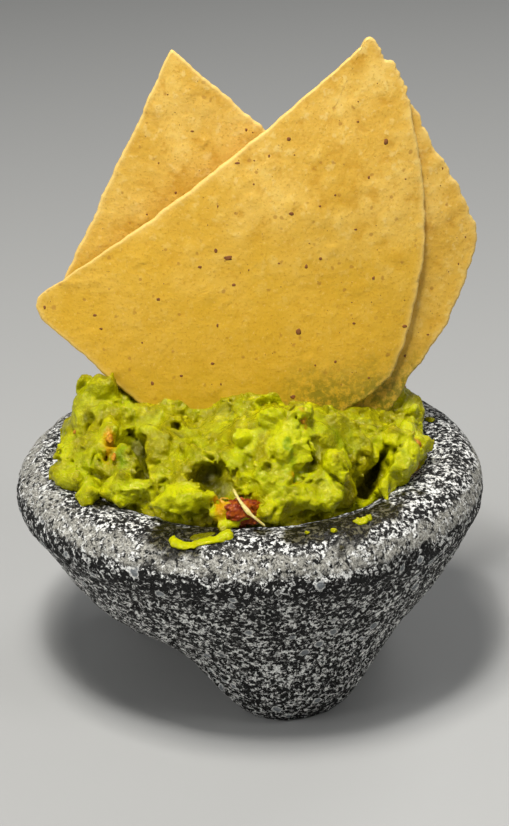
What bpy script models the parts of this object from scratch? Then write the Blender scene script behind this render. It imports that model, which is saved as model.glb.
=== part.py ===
"""Guacamole heaped in a three-legged stone mortar bowl, with big corn chips standing in it.

Frame: metres, +Z up. The origin is on the floor under the bowl's axis, and -Y is the front.
The bowl is one turned wall whose belly swells into three stub legs. The guacamole fills it and
heaps over the rim. It is cut round the chips and the tomato piece, with GAP between neighbours.
"""
import math

import bmesh
import bpy
import numpy as np
from mathutils import Matrix, Vector

MM = 0.001
GAP = 0.3 * MM

# Bowl: outer wall, lip and hollow, as radii and heights.
RADIUS = 60.0 * MM
WIDEST_Z = 49.5 * MM
LIP_RISE = 8.8 * MM
LIP_WIDTH = 9.0 * MM
LIP_UNDERCUT = math.radians(35.0)
FLANK_TENSION = 9.5 * MM
BELLY_PULL = 48.5 * MM
BELLY_SHIFT = 1.4 * MM
BELLY_Z = 9.8 * MM
MOUTH_RADIUS = 42.0 * MM
SHOULDER_DROP = 3.4 * MM
HOLLOW_PULL = (40.0 * MM, 33.0 * MM)
HOLLOW_FLAT = 30.0 * MM
HOLLOW_Z = 21.0 * MM
RIM_SLOPE = 0.026
BOWL_SIDES = 60

# Legs: heading in degrees, distance of the foot from the axis, and the spread of the swelling
# to the right, to the left and outwards, in radians seen from SWELL_Z on the axis.
LEGS = (
    (-71.0, 33.0 * MM, 0.44, 0.35, 0.40),
    (34.0, 32.0 * MM, 0.36, 0.38, 0.42),
    (146.0, 31.0 * MM, 0.34, 0.34, 0.36),
)
INWARD_SPREAD = 0.21
SWELL_Z = 58.0 * MM
SWELL_POWER = 2.5
FOOT_REACH = 4.0 * MM

# Heap of guacamole.
HEAP_RISE = 16.0 * MM
SIDE_RISE = 4.5 * MM
HEAP_POWER = 2.2
HEAP_SIDES = 52
HEAP_RINGS = 15
EDGE_DEPTH = 2.6 * MM
EDGE_RADIUS = 47.0 * MM
# Where the heap's edge reaches out or stays in: heading in degrees, spread in degrees, amount.
EDGE_SWELLS = (
    (182.0, 34.0, 4.2 * MM),
    (232.0, 20.0, -2.6 * MM),
    (318.0, 16.0, -4.5 * MM),
    (352.0, 26.0, 1.6 * MM),
    (80.0, 30.0, -2.0 * MM),
    (286.0, 24.0, -3.0 * MM),
)
# Lumps and hollows of the heap: x, y, radius, height.
LUMPS = (
    (-39.0, 4.0, 11.0, 10.5),
    (-34.0, -17.0, 9.0, 4.5),
    (-43.0, -13.0, 6.0, 4.0),
    (-14.0, -36.0, 8.0, 7.0),
    (-12.0, -22.0, 7.0, -5.0),
    (-20.0, -11.0, 8.0, 2.0),
    (7.0, -27.0, 8.5, 6.0),
    (18.0, -28.0, 11.0, 7.0),
    (29.5, -27.0, 4.5, -6.0),
    (37.0, -14.0, 9.0, 6.0),
    (33.0, -3.0, 5.0, -3.0),
    (38.0, 12.0, 10.0, 7.0),
    (16.0, 30.0, 13.0, 3.0),
    (-16.0, 33.0, 12.0, 4.0),
    (0.0, 42.0, 6.0, -3.0),
    (-13.0, -9.0, 8.0, -5.0),
    (-27.0, -9.0, 6.0, -3.0),
    (20.0, -8.0, 8.0, -2.5),
    (29.0, -9.0, 6.0, -3.0),
    (-40.0, 2.0, 6.0, 2.0),
    (-3.0, -44.0, 3.5, -2.5),
)

# Chips: thickness, and each chip's base point, lean back in degrees, bend and outline. A bend is
# (a across, depth at 50 mm from it). An outline corner is (across, up, bulge of the side after it).
CHIP_THICKNESS = 1.8 * MM
CHIP_BASE_Z = 76.0
CHIPS = {
    "chip_front": {
        "base": (0.0, -2.0, CHIP_BASE_Z),
        "lean": 10.0,
        "bend": (0.0, 7.0),
        "outline": (
            (-53.0, 22.5, -2.0),
            (29.3, 86.8, 0.4),
            (38.8, 72.3, 6.4),
            (36.0, 1.5, 5.0),
            (-14.0, -17.0, 0.0),
            (-53.0, 15.5, 1.5),
        ),
    },
    "chip_right": {
        "base": (0.0, 0.4, CHIP_BASE_Z),
        "lean": 10.0,
        "bend": (0.0, 7.0),
        "outline": (
            (37.6, 73.0, 0.8),
            (56.8, 41.0, 0.6),
            (57.6, 35.0, 2.5),
            (41.6, 1.5, 1.0),
            (30.0, -14.0, 0.0),
            (6.0, -4.0, 0.0),
        ),
    },
    "chip_back_left": {
        "base": (0.0, 10.0, CHIP_BASE_Z),
        "lean": 6.0,
        "bend": (-12.0, 5.0),
        "outline": (
            (-48.5, 21.0, 0.0),
            (-19.3, 82.0, 0.5),
            (24.0, 43.0, 4.0),
            (14.0, -10.0, 1.0),
            (-22.0, -12.0, 0.5),
        ),
    },
}
CHIP_RINGS = 5
CHIP_SIDE_STEP = 7.0

# Tomato piece: centre, half sizes and turn in degrees.
TOMATO_CENTRE = (-2.0 * MM, -42.0 * MM, 60.2 * MM)
TOMATO_HALF = (5.6 * MM, 3.6 * MM, 3.4 * MM)
TOMATO_TURN = 18.0
TOMATO_POWER = 2.6

MATERIALS = {
    "stone": ((0.13, 0.13, 0.125), 0.85),
    "mash": ((0.42, 0.44, 0.03), 0.3),
    "corn_chip": ((0.80, 0.56, 0.20), 0.6),
    "tomato": ((0.60, 0.06, 0.01), 0.3),
}


def material(name):
    """A Principled material with the colour and roughness of MATERIALS."""
    colour, roughness = MATERIALS[name]
    mat = bpy.data.materials.new(name)
    mat.use_nodes = True
    shader = mat.node_tree.nodes["Principled BSDF"]
    shader.inputs["Base Color"].default_value = (*colour, 1.0)
    shader.inputs["Roughness"].default_value = roughness
    shader.inputs["Metallic"].default_value = 0.0
    return mat


def add_object(name, mesh, mat, collection):
    """Put a mesh in the scene as an object of its own name and material."""
    mesh.materials.append(mat)
    obj = bpy.data.objects.new(name, mesh)
    collection.objects.link(obj)
    return obj


def lofted(name, rings, start, end):
    """A closed mesh through rings of equal counts, from the point start to the point end."""
    count = len(rings[0])
    bm = bmesh.new()
    first = bm.verts.new(start)
    loops = [[bm.verts.new(point) for point in ring] for ring in rings]
    last = bm.verts.new(end)
    for k in range(count):
        after = (k + 1) % count
        bm.faces.new((first, loops[0][after], loops[0][k]))
        bm.faces.new((last, loops[-1][k], loops[-1][after]))
        for low, high in zip(loops, loops[1:]):
            bm.faces.new((low[k], low[after], high[after], high[k]))
    bmesh.ops.triangulate(bm, faces=bm.faces)
    mesh = bpy.data.meshes.new(name)
    bm.to_mesh(mesh)
    bm.free()
    return mesh


def bezier(points, steps):
    """Points along a cubic Bezier curve, both ends included."""
    t = np.linspace(0.0, 1.0, steps)[:, None]
    a, b, c, d = (np.array(point) for point in points)
    return (1 - t) ** 3 * a + 3 * t * (1 - t) ** 2 * b + 3 * t**2 * (1 - t) * c + t**3 * d


def arc(centre, radii, start, end, steps):
    """Points on an ellipse in the (r, z) plane, from one angle to another."""
    turn = np.linspace(start, end, steps)
    return np.stack([centre[0] + radii[0] * np.cos(turn), centre[1] + radii[1] * np.sin(turn)], axis=1)


def lip_arc(start, steps):
    """(r, z) over the lip, from an angle under or at its widest ring up to its top."""
    return arc((RADIUS - LIP_WIDTH, WIDEST_Z), (LIP_WIDTH, LIP_RISE), start, math.pi / 2, steps)


def outer_profile():
    """(r, z) from under the belly's centre up the flank, round under the lip and over it."""
    lip = lip_arc(-LIP_UNDERCUT, 7)
    along = np.array([LIP_WIDTH * math.sin(LIP_UNDERCUT), LIP_RISE * math.cos(LIP_UNDERCUT)])
    flank_pull = lip[0] - FLANK_TENSION * along / np.hypot(*along)
    flank = bezier(((0.0, BELLY_Z), (BELLY_PULL, BELLY_Z), flank_pull, lip[0]), 14)
    return np.concatenate([flank[1:], lip[1:]])


def inner_profile():
    """(r, z) from the top of the lip over the shoulder and down the hollow, without its centre."""
    top = WIDEST_Z + LIP_RISE
    reach = RADIUS - LIP_WIDTH - MOUTH_RADIUS
    centre = (RADIUS - LIP_WIDTH, top - SHOULDER_DROP)
    shoulder = arc(centre, (reach, SHOULDER_DROP), math.pi / 2, math.pi, 6)
    mouth = (MOUTH_RADIUS, top - SHOULDER_DROP)
    hollow = bezier((mouth, HOLLOW_PULL, (HOLLOW_FLAT, HOLLOW_Z), (0.0, HOLLOW_Z)), 10)
    return np.concatenate([shoulder[1:], hollow[1:-1]])


def turned(profile, sides):
    """Rings of points round the Z axis, one for each (r, z) of the profile."""
    turn = np.linspace(0.0, 2 * math.pi, sides, endpoint=False)
    r, z = profile[:, :1], profile[:, 1:]
    return np.stack([r * np.cos(turn), r * np.sin(turn), z + 0 * turn], axis=2)


def lean_belly(rings):
    """Shift the belly sideways between its widest ring and its underside, as hand-cut stone is."""
    low = np.clip((WIDEST_Z - rings[..., 2]) / (WIDEST_Z - BELLY_Z), 0.0, 1.0)
    leaned = rings.copy()
    leaned[..., 0] += BELLY_SHIFT * 4.0 * low * (1.0 - low)
    return leaned


def swell_into_legs(rings):
    """Push the outer wall away from a point on the axis, towards each of the three feet."""
    eye = np.array([0.0, 0.0, SWELL_Z])
    reach = np.linalg.norm(rings - eye, axis=2)
    ray = (rings - eye) / reach[..., None]
    swollen = reach.copy()
    for heading, distance, spread_right, spread_left, spread_out in LEGS:
        turn = math.radians(heading)
        foot = np.array([distance * math.cos(turn), distance * math.sin(turn), 0.0]) - eye
        length = np.linalg.norm(foot)
        axis = foot / length
        across = np.array([-math.sin(turn), math.cos(turn), 0.0])
        above = np.cross(axis, across)
        off = ray - (ray @ axis)[..., None] * axis
        angle = np.arccos(np.clip(ray @ axis, -1.0, 1.0)) / (np.linalg.norm(off, axis=2) + 1e-9)
        side = angle * (off @ across)
        rise = angle * (off @ above)
        spread = np.where(side > 0, spread_right, spread_left)
        spread_up = np.where(rise > 0, spread_out, INWARD_SPREAD)
        weight = np.exp(-np.hypot(side / spread, rise / spread_up) ** SWELL_POWER)
        swollen += np.maximum(length + FOOT_REACH - reach, 0.0) * weight
    shaped = eye + ray * swollen[..., None]
    shaped[..., 2] = np.maximum(shaped[..., 2], 0.0)
    return shaped


def tilt_rim(points):
    """Raise the +X side of everything a little, more towards the rim."""
    height = WIDEST_Z + LIP_RISE
    tilted = points.copy()
    tilted[..., 2] += RIM_SLOPE * points[..., 0] * np.clip(points[..., 2] / height, 0.0, 1.0)
    return tilted


def build_bowl(collection):
    """The stone bowl: outer wall with its legs, lip and hollow in one closed loft."""
    outside = swell_into_legs(lean_belly(turned(outer_profile(), BOWL_SIDES)))
    inside = turned(inner_profile(), BOWL_SIDES)
    rings = tilt_rim(np.concatenate([outside, inside]))
    mesh = lofted("bowl", rings, (0.0, 0.0, BELLY_Z), (0.0, 0.0, HOLLOW_Z))
    obj = add_object("bowl", mesh, material("stone"), collection)
    mesh.shade_smooth()
    return obj


def bed_profile():
    """(r, z) from the hollow's centre out over the shoulder and lip, lifted off the stone by GAP."""
    wall = np.concatenate([[(0.0, HOLLOW_Z)], inner_profile()[::-1], lip_arc(0.0, 9)[::-1]])
    along = np.gradient(wall, axis=0)
    along[0] = (1.0, 0.0)
    normal = np.stack([-along[:, 1], along[:, 0]], axis=1) / np.hypot(along[:, 0], along[:, 1])[:, None]
    return wall + 1.3 * GAP * normal


def bed_height(radius):
    """Height of the lifted profile at a radius."""
    bed = bed_profile()
    return np.interp(radius, bed[:, 0], bed[:, 1])


def edge_radius(turn):
    """How far out the heap reaches in each direction."""
    reach = np.full_like(turn, EDGE_RADIUS)
    for heading, spread, amount in EDGE_SWELLS:
        away = (np.degrees(turn) - heading + 180.0) % 360.0 - 180.0
        reach += amount * np.exp(-((away / spread) ** 2))
    return reach


def heap_height(x, y):
    """The heap's dome above the rim plane, with its lumps and hollows."""
    across = np.hypot(x, y) / EDGE_RADIUS
    height = HEAP_RISE - (HEAP_RISE - SIDE_RISE) * np.clip(across, 0.0, 1.0) ** HEAP_POWER
    for lump_x, lump_y, size, rise in LUMPS:
        away = np.hypot(x - lump_x * MM, y - lump_y * MM) / (size * MM)
        height += rise * MM * np.exp(-(away**2))
    return height


def heap_top(x, y, share):
    """Height of the mash. Its edge, at share 1, stands EDGE_DEPTH over the bowl's wall."""
    bed = bed_height(np.hypot(x, y)) + EDGE_DEPTH
    top = WIDEST_Z + LIP_RISE + heap_height(x, y)
    rounding = np.sqrt(np.clip(1.0 - share**7, 0.0, 1.0))
    return bed + np.maximum(top - bed, 1.5 * MM) * rounding


def build_heap(collection):
    """The guacamole: a bed that follows the hollow, an uneven edge and the lumpy heap above."""
    turn = np.linspace(0.0, 2 * math.pi, HEAP_SIDES, endpoint=False)
    reach = edge_radius(turn)
    rings = []
    bed = bed_profile()
    mouth = bed[np.searchsorted(bed[:, 0], MOUTH_RADIUS - GAP), 0]
    wall_rings = [r for r in bed[1:, 0] if r <= mouth]
    for radius in wall_rings:
        r = radius * np.minimum(reach / mouth, 1.0)
        rings.append(np.stack([r * np.cos(turn), r * np.sin(turn), bed_height(r)], axis=1))
    for share in (0.1, 0.25, 0.5, 0.75, 1.0):
        r = np.minimum(reach, mouth) + np.maximum(reach - mouth, 0.0) * share
        lift = np.where(reach > mouth, 0.0, share * EDGE_DEPTH * 0.5)
        rings.append(np.stack([r * np.cos(turn), r * np.sin(turn), bed_height(r) + lift], axis=1))
    for share in np.sin(np.linspace(math.pi / 2, 0.0, HEAP_RINGS + 1))[:-1]:
        x, y = reach * share * np.cos(turn), reach * share * np.sin(turn)
        rings.append(np.stack([x, y, heap_top(x, y, np.full_like(x, share))], axis=1))
    peak = float(heap_top(np.array(0.0), np.array(0.0), np.array(0.0)))
    mesh = lofted("guacamole", tilt_rim(np.array(rings)), (0.0, 0.0, bed[0, 1]), (0.0, 0.0, peak))
    return add_object("guacamole", mesh, material("mash"), collection)


def outline_points(corners, grow):
    """A closed clockwise outline through the corners, each side bowed out by its bulge, then grown."""
    points = []
    for (ax, ay, bulge), (bx, by, _) in zip(corners, corners[1:] + corners[:1]):
        length = math.hypot(bx - ax, by - ay)
        steps = max(1, round(length / CHIP_SIDE_STEP))
        outward = ((ay - by) / length, (bx - ax) / length)
        for k in range(steps):
            t = k / steps
            bow = 4.0 * bulge * t * (1.0 - t)
            points.append((ax + (bx - ax) * t + outward[0] * bow, ay + (by - ay) * t + outward[1] * bow))
    outline = np.array(points) * MM
    along = np.roll(outline, -1, axis=0) - outline
    outward = np.stack([-along[:, 1], along[:, 0]], axis=1) / np.hypot(along[:, 0], along[:, 1])[:, None]
    mitre = outward + np.roll(outward, 1, axis=0)
    return outline + grow * 2.0 * mitre / (mitre**2).sum(axis=1)[:, None]


def chip_mesh(name, chip, grow):
    """The middle surface of a chip: rings drawn in from its outline, bent about an upright line."""
    outline = outline_points(chip["outline"], grow)
    centre = outline.mean(axis=0)
    bend_at, bend_depth = (value * MM for value in chip["bend"])
    lean = Matrix.Rotation(-math.radians(chip["lean"]), 4, "X")
    place = Matrix.Translation(Vector(chip["base"]) * MM) @ lean

    def on_chip(flat):
        back = bend_depth * ((flat[0] - bend_at) / (50.0 * MM)) ** 2
        return place @ Vector((flat[0], back, flat[1]))

    bm = bmesh.new()
    loops = []
    for ring in range(CHIP_RINGS):
        share = 1.0 - ring / CHIP_RINGS
        loops.append([bm.verts.new(on_chip(centre + share * (point - centre))) for point in outline])
    middle = bm.verts.new(on_chip(centre))
    count = len(outline)
    for k in range(count):
        after = (k + 1) % count
        bm.faces.new((loops[-1][k], loops[-1][after], middle))
        for outer, inner in zip(loops, loops[1:]):
            bm.faces.new((outer[k], outer[after], inner[after], inner[k]))
    bmesh.ops.triangulate(bm, faces=bm.faces)
    mesh = bpy.data.meshes.new(name)
    bm.to_mesh(mesh)
    bm.free()
    return mesh


def build_chip(name, chip, thickness, grow, mat, collection):
    """A chip: its middle surface given its thickness by Solidify."""
    obj = add_object(name, chip_mesh(name, chip, grow), mat, collection)
    shell = obj.modifiers.new("thickness", "SOLIDIFY")
    shell.thickness = thickness
    shell.offset = 0.0
    return obj


def build_tomato(name, grow, mat, collection):
    """The tomato piece: a ball squared off towards a rounded block, on its own turn."""
    bm = bmesh.new()
    bmesh.ops.create_uvsphere(bm, u_segments=18, v_segments=10, radius=1.0)
    half = Vector(TOMATO_HALF) + Vector((grow, grow, grow))
    for vert in bm.verts:
        x, y, z = vert.co
        size = (abs(x) ** TOMATO_POWER + abs(y) ** TOMATO_POWER + abs(z) ** TOMATO_POWER) ** (1 / TOMATO_POWER)
        vert.co = Vector((x * half.x, y * half.y, z * half.z)) / size
    bmesh.ops.triangulate(bm, faces=bm.faces)
    mesh = bpy.data.meshes.new(name)
    bm.to_mesh(mesh)
    bm.free()
    mesh.shade_smooth()
    obj = add_object(name, mesh, mat, collection)
    obj.location = TOMATO_CENTRE
    obj.rotation_euler = (math.radians(-20.0), 0.0, math.radians(TOMATO_TURN))
    return obj


def cut(target, cutter):
    """Take a cutter's shape out of the target."""
    cutter.hide_render = True
    cutter.display_type = "WIRE"
    boolean = target.modifiers.new(cutter.name, "BOOLEAN")
    boolean.operation = "DIFFERENCE"
    boolean.solver = "EXACT"
    boolean.object = cutter


def main():
    """Build the bowl, the heap, the chips and the tomato piece."""
    for obj in list(bpy.data.objects):
        bpy.data.objects.remove(obj, do_unlink=True)
    parts = bpy.data.collections.new("guacamole_in_stone_bowl")
    cutters = bpy.data.collections.new("cutters")
    for collection in (parts, cutters):
        bpy.context.scene.collection.children.link(collection)
    build_bowl(parts)
    heap = build_heap(parts)
    corn = material("corn_chip")
    for name, chip in CHIPS.items():
        build_chip(name, chip, CHIP_THICKNESS, 0.0, corn, parts)
        cut(heap, build_chip(name + "_slot", chip, CHIP_THICKNESS + 2 * GAP, GAP, corn, cutters))
    tomato = material("tomato")
    build_tomato("tomato_piece", 0.0, tomato, parts)
    cut(heap, build_tomato("tomato_slot", GAP, tomato, cutters))


main()
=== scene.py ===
"""Looks of the guacamole in its stone bowl, with three big corn chips standing in it.

Metres, +Z up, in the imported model's own frame: the origin is on the floor under the bowl's axis,
and -Y is the front. Lengths are written in millimetres times MM. The bowl and the chips repeat the
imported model's formulas on much finer grids, with relief along their normals. The mash is a net
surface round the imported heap's formula, with lumps, hollows and torn relief.
"""
import math
from itertools import product

import bpy
import numpy as np
from mathutils import Matrix, Vector


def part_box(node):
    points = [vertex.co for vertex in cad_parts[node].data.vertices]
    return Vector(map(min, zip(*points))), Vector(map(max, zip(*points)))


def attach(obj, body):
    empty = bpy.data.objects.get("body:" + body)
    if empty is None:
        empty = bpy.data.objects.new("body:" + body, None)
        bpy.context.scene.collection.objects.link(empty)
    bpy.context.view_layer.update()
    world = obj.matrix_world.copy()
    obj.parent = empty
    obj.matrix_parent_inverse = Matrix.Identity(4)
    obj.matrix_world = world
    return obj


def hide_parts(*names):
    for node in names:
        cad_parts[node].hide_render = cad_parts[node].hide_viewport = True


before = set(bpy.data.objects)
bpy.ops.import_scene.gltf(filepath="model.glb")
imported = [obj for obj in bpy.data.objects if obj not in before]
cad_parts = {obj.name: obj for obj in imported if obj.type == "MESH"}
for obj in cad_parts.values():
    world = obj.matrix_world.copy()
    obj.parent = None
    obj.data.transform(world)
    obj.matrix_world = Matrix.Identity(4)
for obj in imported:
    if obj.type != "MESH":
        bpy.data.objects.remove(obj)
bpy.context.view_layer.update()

MM = 0.001
BODY = "root"

# Bowl: outer wall, lip, hollow and the two ways in which hand-cut stone leans.
RADIUS = (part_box("bowl")[1].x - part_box("bowl")[0].x) / 2
WIDEST_Z = 49.5 * MM
LIP_RISE = 8.8 * MM
LIP_WIDTH = 9.0 * MM
LIP_UNDERCUT = math.radians(35.0)
LIP_CENTRE = RADIUS - LIP_WIDTH
RIM_Z = WIDEST_Z + LIP_RISE
FLANK_TENSION = 9.5 * MM
BELLY_PULL = 48.5 * MM
BELLY_SHIFT = 1.4 * MM
BELLY_Z = 9.8 * MM
MOUTH_RADIUS = 42.0 * MM
SHOULDER_DROP = 3.4 * MM
HOLLOW_PULL = (40.0 * MM, 33.0 * MM)
HOLLOW_FLAT = 30.0 * MM
HOLLOW_Z = 21.0 * MM
RIM_SLOPE = 0.026
BOWL_SIDES = 500

# Legs: heading, distance of the foot, and the spread of the swelling to the right, left and outwards.
LEGS = (
    (-71.0, 33.0 * MM, 0.44, 0.35, 0.40),
    (34.0, 32.0 * MM, 0.36, 0.38, 0.42),
    (146.0, 31.0 * MM, 0.34, 0.34, 0.36),
)
INWARD_SPREAD = 0.21
SWELL_Z = 58.0 * MM
SWELL_POWER = 2.5
FOOT_REACH = 4.0 * MM

# Heap of mash: dome, edge and its swells as heading, spread and amount, and its big lumps and
# hollows as x, y, radius and height in millimetres. SKIN is the gap to the stone.
SKIN = 0.39 * MM
HEAP_RISE = 16.0 * MM
SIDE_RISE = 4.5 * MM
HEAP_POWER = 2.2
EDGE_DEPTH = 2.6 * MM
EDGE_RADIUS = 47.0 * MM
EDGE_SWELLS = (
    (182.0, 34.0, 4.2 * MM), (232.0, 20.0, -2.6 * MM), (318.0, 16.0, -4.5 * MM),
    (352.0, 26.0, 1.6 * MM), (80.0, 30.0, -2.0 * MM), (286.0, 24.0, -3.0 * MM),
)
LUMPS = (
    (-39.0, 4.0, 11.0, 10.5), (-34.0, -17.0, 9.0, 4.5), (-43.0, -13.0, 6.0, 4.0),
    (-14.0, -36.0, 8.0, 7.0), (-12.0, -22.0, 7.0, -5.0), (-20.0, -11.0, 8.0, 2.0),
    (7.0, -27.0, 8.5, 6.0), (18.0, -28.0, 11.0, 7.0), (29.5, -27.0, 4.5, -6.0),
    (37.0, -14.0, 9.0, 6.0), (33.0, -3.0, 5.0, -3.0), (38.0, 12.0, 10.0, 7.0),
    (16.0, 30.0, 13.0, 3.0), (-16.0, 33.0, 12.0, 4.0), (0.0, 42.0, 6.0, -3.0),
    (-13.0, -9.0, 8.0, -5.0), (-27.0, -9.0, 6.0, -3.0), (20.0, -8.0, 8.0, -2.5),
    (29.0, -9.0, 6.0, -3.0), (-40.0, 2.0, 6.0, 2.0), (-3.0, -44.0, 3.5, -2.5),
)
# Chips: thickness, and each chip's own seed, its painted shade shift (how much deeper gold it is painted
# for the light it gets, lighter where negative), its base point, lean, bend and outline corners as across,
# up and the bulge of the side that follows, with how ragged that side is, all lengths in millimetres.
CHIP_THICKNESS = 1.8 * MM
CHIP_BASE_Z = 76.0
CHIPS = {
    "chip_front": {
        "piece": "front_corn_chip", "seed": 1, "fried": 0.0,
        "base": (0.0, -2.0, CHIP_BASE_Z), "lean": 10.0, "bend": (0.0, 7.0),
        "outline": (
            (-53.0, 22.5, -2.0, 0.25), (29.3, 86.8, 0.4, 1.5), (38.8, 72.3, 6.4, 0.35),
            (36.0, 1.5, 5.0, 0.3), (-14.0, -17.0, 0.0, 0.3), (-53.0, 15.5, 1.5, 0.4),
        ),
    },
    "chip_right": {
        "piece": "right_corn_chip", "seed": 2, "fried": -0.4,
        "base": (0.0, 0.4, CHIP_BASE_Z), "lean": 10.0, "bend": (0.0, 7.0),
        "outline": (
            (37.6, 73.0, 0.8, 0.7), (56.8, 41.0, 0.6, 0.5), (57.6, 35.0, 2.5, 0.4),
            (41.6, 1.5, 1.0, 0.3), (30.0, -14.0, 0.0, 0.3), (6.0, -4.0, 0.0, 0.3),
        ),
    },
    "chip_back_left": {
        "piece": "back_corn_chip", "seed": 3, "fried": 0.0,
        "base": (0.0, 10.0, CHIP_BASE_Z), "lean": 6.0, "bend": (-12.0, 5.0),
        "outline": (
            (-48.5, 21.0, 0.0, 0.3), (-19.3, 82.0, 0.5, 0.5), (24.0, 43.0, 4.0, 0.3),
            (14.0, -10.0, 1.0, 0.3), (-22.0, -12.0, 0.5, 0.3),
        ),
    },
}
# Points round a chip, rings on each face from CHIP_HEART of the way out, and rings round its edge.
CHIP_SIDES = 620
CHIP_FACE_RINGS = 58
CHIP_EDGE_RINGS = 9
CHIP_ROUNDING = 0.9 * MM
CHIP_HEART = 0.015
CHIP_RIM_WIDTH = 1.1 * MM

# Tomato piece: a rounded block, turned and tilted in degrees, squarer at a higher power.
TOMATO_CENTRE = np.array((-2.0, -42.0, 60.2)) * MM
TOMATO_HALF = np.array((5.6, 3.6, 3.4)) * MM
TOMATO_TURN = 18.0
TOMATO_TILT = -20.0
TOMATO_POWER = 2.6


# ---- Noise ------------------------------------------------------------------------------------


# Four random shares for each corner of a lattice that repeats.
LATTICE = 64
DICE = np.random.default_rng(3).random((LATTICE**3, 4), dtype=np.float32)


def dice_row(corner, seed):
    """The row of DICE for each whole-number corner. A seed starts elsewhere in the lattice."""
    shifted = (corner + np.array((seed * 7, seed * 13, seed * 29), np.int32)) & (LATTICE - 1)
    return (shifted[..., 0] * LATTICE + shifted[..., 1]) * LATTICE + shifted[..., 2]


def soft_noise(points, size, seed):
    """Noise from -1 to 1: random shares at the corners of cubes of this size, blended by S-curves."""
    spot = (points / size).astype(np.float32)
    corner = np.floor(spot)
    share = spot - corner
    share = share**2 * (3.0 - 2.0 * share)
    corner = corner.astype(np.int32)
    total = np.zeros(points.shape[:-1], np.float32)
    for step in product((0, 1), repeat=3):
        weight = np.where(step, share, 1.0 - share).prod(axis=-1)
        total += weight * DICE[dice_row(corner + np.array(step, np.int32), seed), 0]
    return 2.0 * total - 1.0


def layered_noise(points, size, seed, layers=3, keep=0.5):
    """Soft noise summed over layers, each of half the size and `keep` times the weight."""
    return sum(keep**k * soft_noise(points, size / 2**k, seed + k) for k in range(layers))


def stirred(points, reach, size, seed):
    """The points pushed about by soft noise, so that patterns on them run in crooked lines."""
    push = np.stack([soft_noise(points, size, seed + k) for k in range(3)], axis=-1)
    return points + reach * push


def pebbles(points, size, seed):
    """Distance to the nearest of one random point per cube, and that point's random share."""
    spot = (points / size).astype(np.float32)
    home = np.floor(spot).astype(np.int32)
    inner = spot - home
    nearest = np.full(points.shape[:-1], 9.0, np.float32)
    tag = np.zeros_like(nearest)
    for step in product((-1, 0, 1), repeat=3):
        step = np.array(step, np.int32)
        dice = DICE[dice_row(home + step, seed)]
        away = inner - step.astype(np.float32) - dice[..., :3]
        away = np.sqrt(np.einsum("...k,...k->...", away, away))
        closer = away < nearest
        tag = np.where(closer, dice[..., 3], tag)
        nearest = np.where(closer, away, nearest)
    return nearest, tag


def fade(value, low, high):
    """0 below low, 1 above high, and an S-curve between."""
    share = np.clip((value - low) / (high - low), 0.0, 1.0)
    return share**2 * (3.0 - 2.0 * share)


# ---- Meshes from grids ------------------------------------------------------------------------


def loft_faces(rings, sides):
    """Faces of a closed loft: quads between rings, and a fan at point 0 and at the last point."""
    k = np.arange(sides)
    after = (k + 1) % sides
    low = 1 + sides * np.arange(rings - 1)[:, None]
    quads = np.stack([low + k, low + after, low + sides + after, low + sides + k], axis=2)
    last = 1 + sides * (rings - 1)
    start = np.stack([0 * k, 1 + after, 1 + k], axis=1)
    end = np.stack([0 * k + last + sides, last + k, last + after], axis=1)
    return quads.reshape(-1, 4), np.concatenate([start, end])


def add_mesh(name, points, quads, fans, finish, slot, stands_for=None, **marks):
    """A piece from points, quads and triangles, which rides on the object's one body.

    Marks are numbers for each point, or one for all, which the finish reads as attributes.
    """
    mesh = bpy.data.meshes.new(name)
    mesh.vertices.add(len(points))
    mesh.vertices.foreach_set("co", points.astype(np.float32).ravel())
    corners = np.concatenate([quads.ravel(), fans.ravel()])
    mesh.loops.add(len(corners))
    mesh.loops.foreach_set("vertex_index", corners.astype(np.int32))
    starts = np.concatenate([4 * np.arange(len(quads)), 4 * len(quads) + 3 * np.arange(len(fans))])
    mesh.polygons.add(len(starts))
    mesh.polygons.foreach_set("loop_start", starts.astype(np.int32))
    mesh.update(calc_edges=True)
    mesh.shade_smooth()
    for mark, values in marks.items():
        layer = mesh.attributes.new(mark, "FLOAT", "POINT")
        layer.data.foreach_set("value", np.broadcast_to(values, len(points)).astype(np.float32))
    mesh.materials.append(finish)
    piece = bpy.data.objects.new(name, mesh)
    bpy.context.scene.collection.objects.link(piece)
    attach(piece, BODY)
    if stands_for:
        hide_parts(stands_for)


def add_shells(name, shells, rings, sides, finish, slot, stands_for=None, **marks):
    """A piece of one or more lofts, each a row of `shells`: start point, rings, end point."""
    quads, fans = loft_faces(rings, sides)
    offset = shells.shape[1] * np.arange(len(shells))[:, None, None]
    quads, fans = (quads + offset).reshape(-1, 4), (fans + offset).reshape(-1, 3)
    add_mesh(name, shells.reshape(-1, 3), quads, fans, finish, slot, stands_for, **marks)


def capped(rings):
    """Rings of points, or of a mark's values, in a row, between the middles of the end rings."""
    middles = rings[[0, -1]].mean(axis=1)
    return np.concatenate([middles[:1], rings.reshape(-1, *rings.shape[2:]), middles[1:]])


def add_loft(name, rings, finish, slot, stands_for=None, **marks):
    """A piece that is one loft. A mark is one number, or rings of them."""
    marks = {mark: capped(values) if np.ndim(values) else values for mark, values in marks.items()}
    add_shells(name, capped(rings)[None], *rings.shape[:2], finish, slot, stands_for, **marks)


def grid_normals(rings):
    """Outward unit normals of a grid of rings: along the ring crossed with on to the next ring."""
    along = np.roll(rings, -1, axis=1) - np.roll(rings, 1, axis=1)
    onward = np.gradient(rings, axis=0)
    normal = np.cross(along, onward)
    return normal / (np.linalg.norm(normal, axis=2, keepdims=True) + 1e-12)


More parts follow.
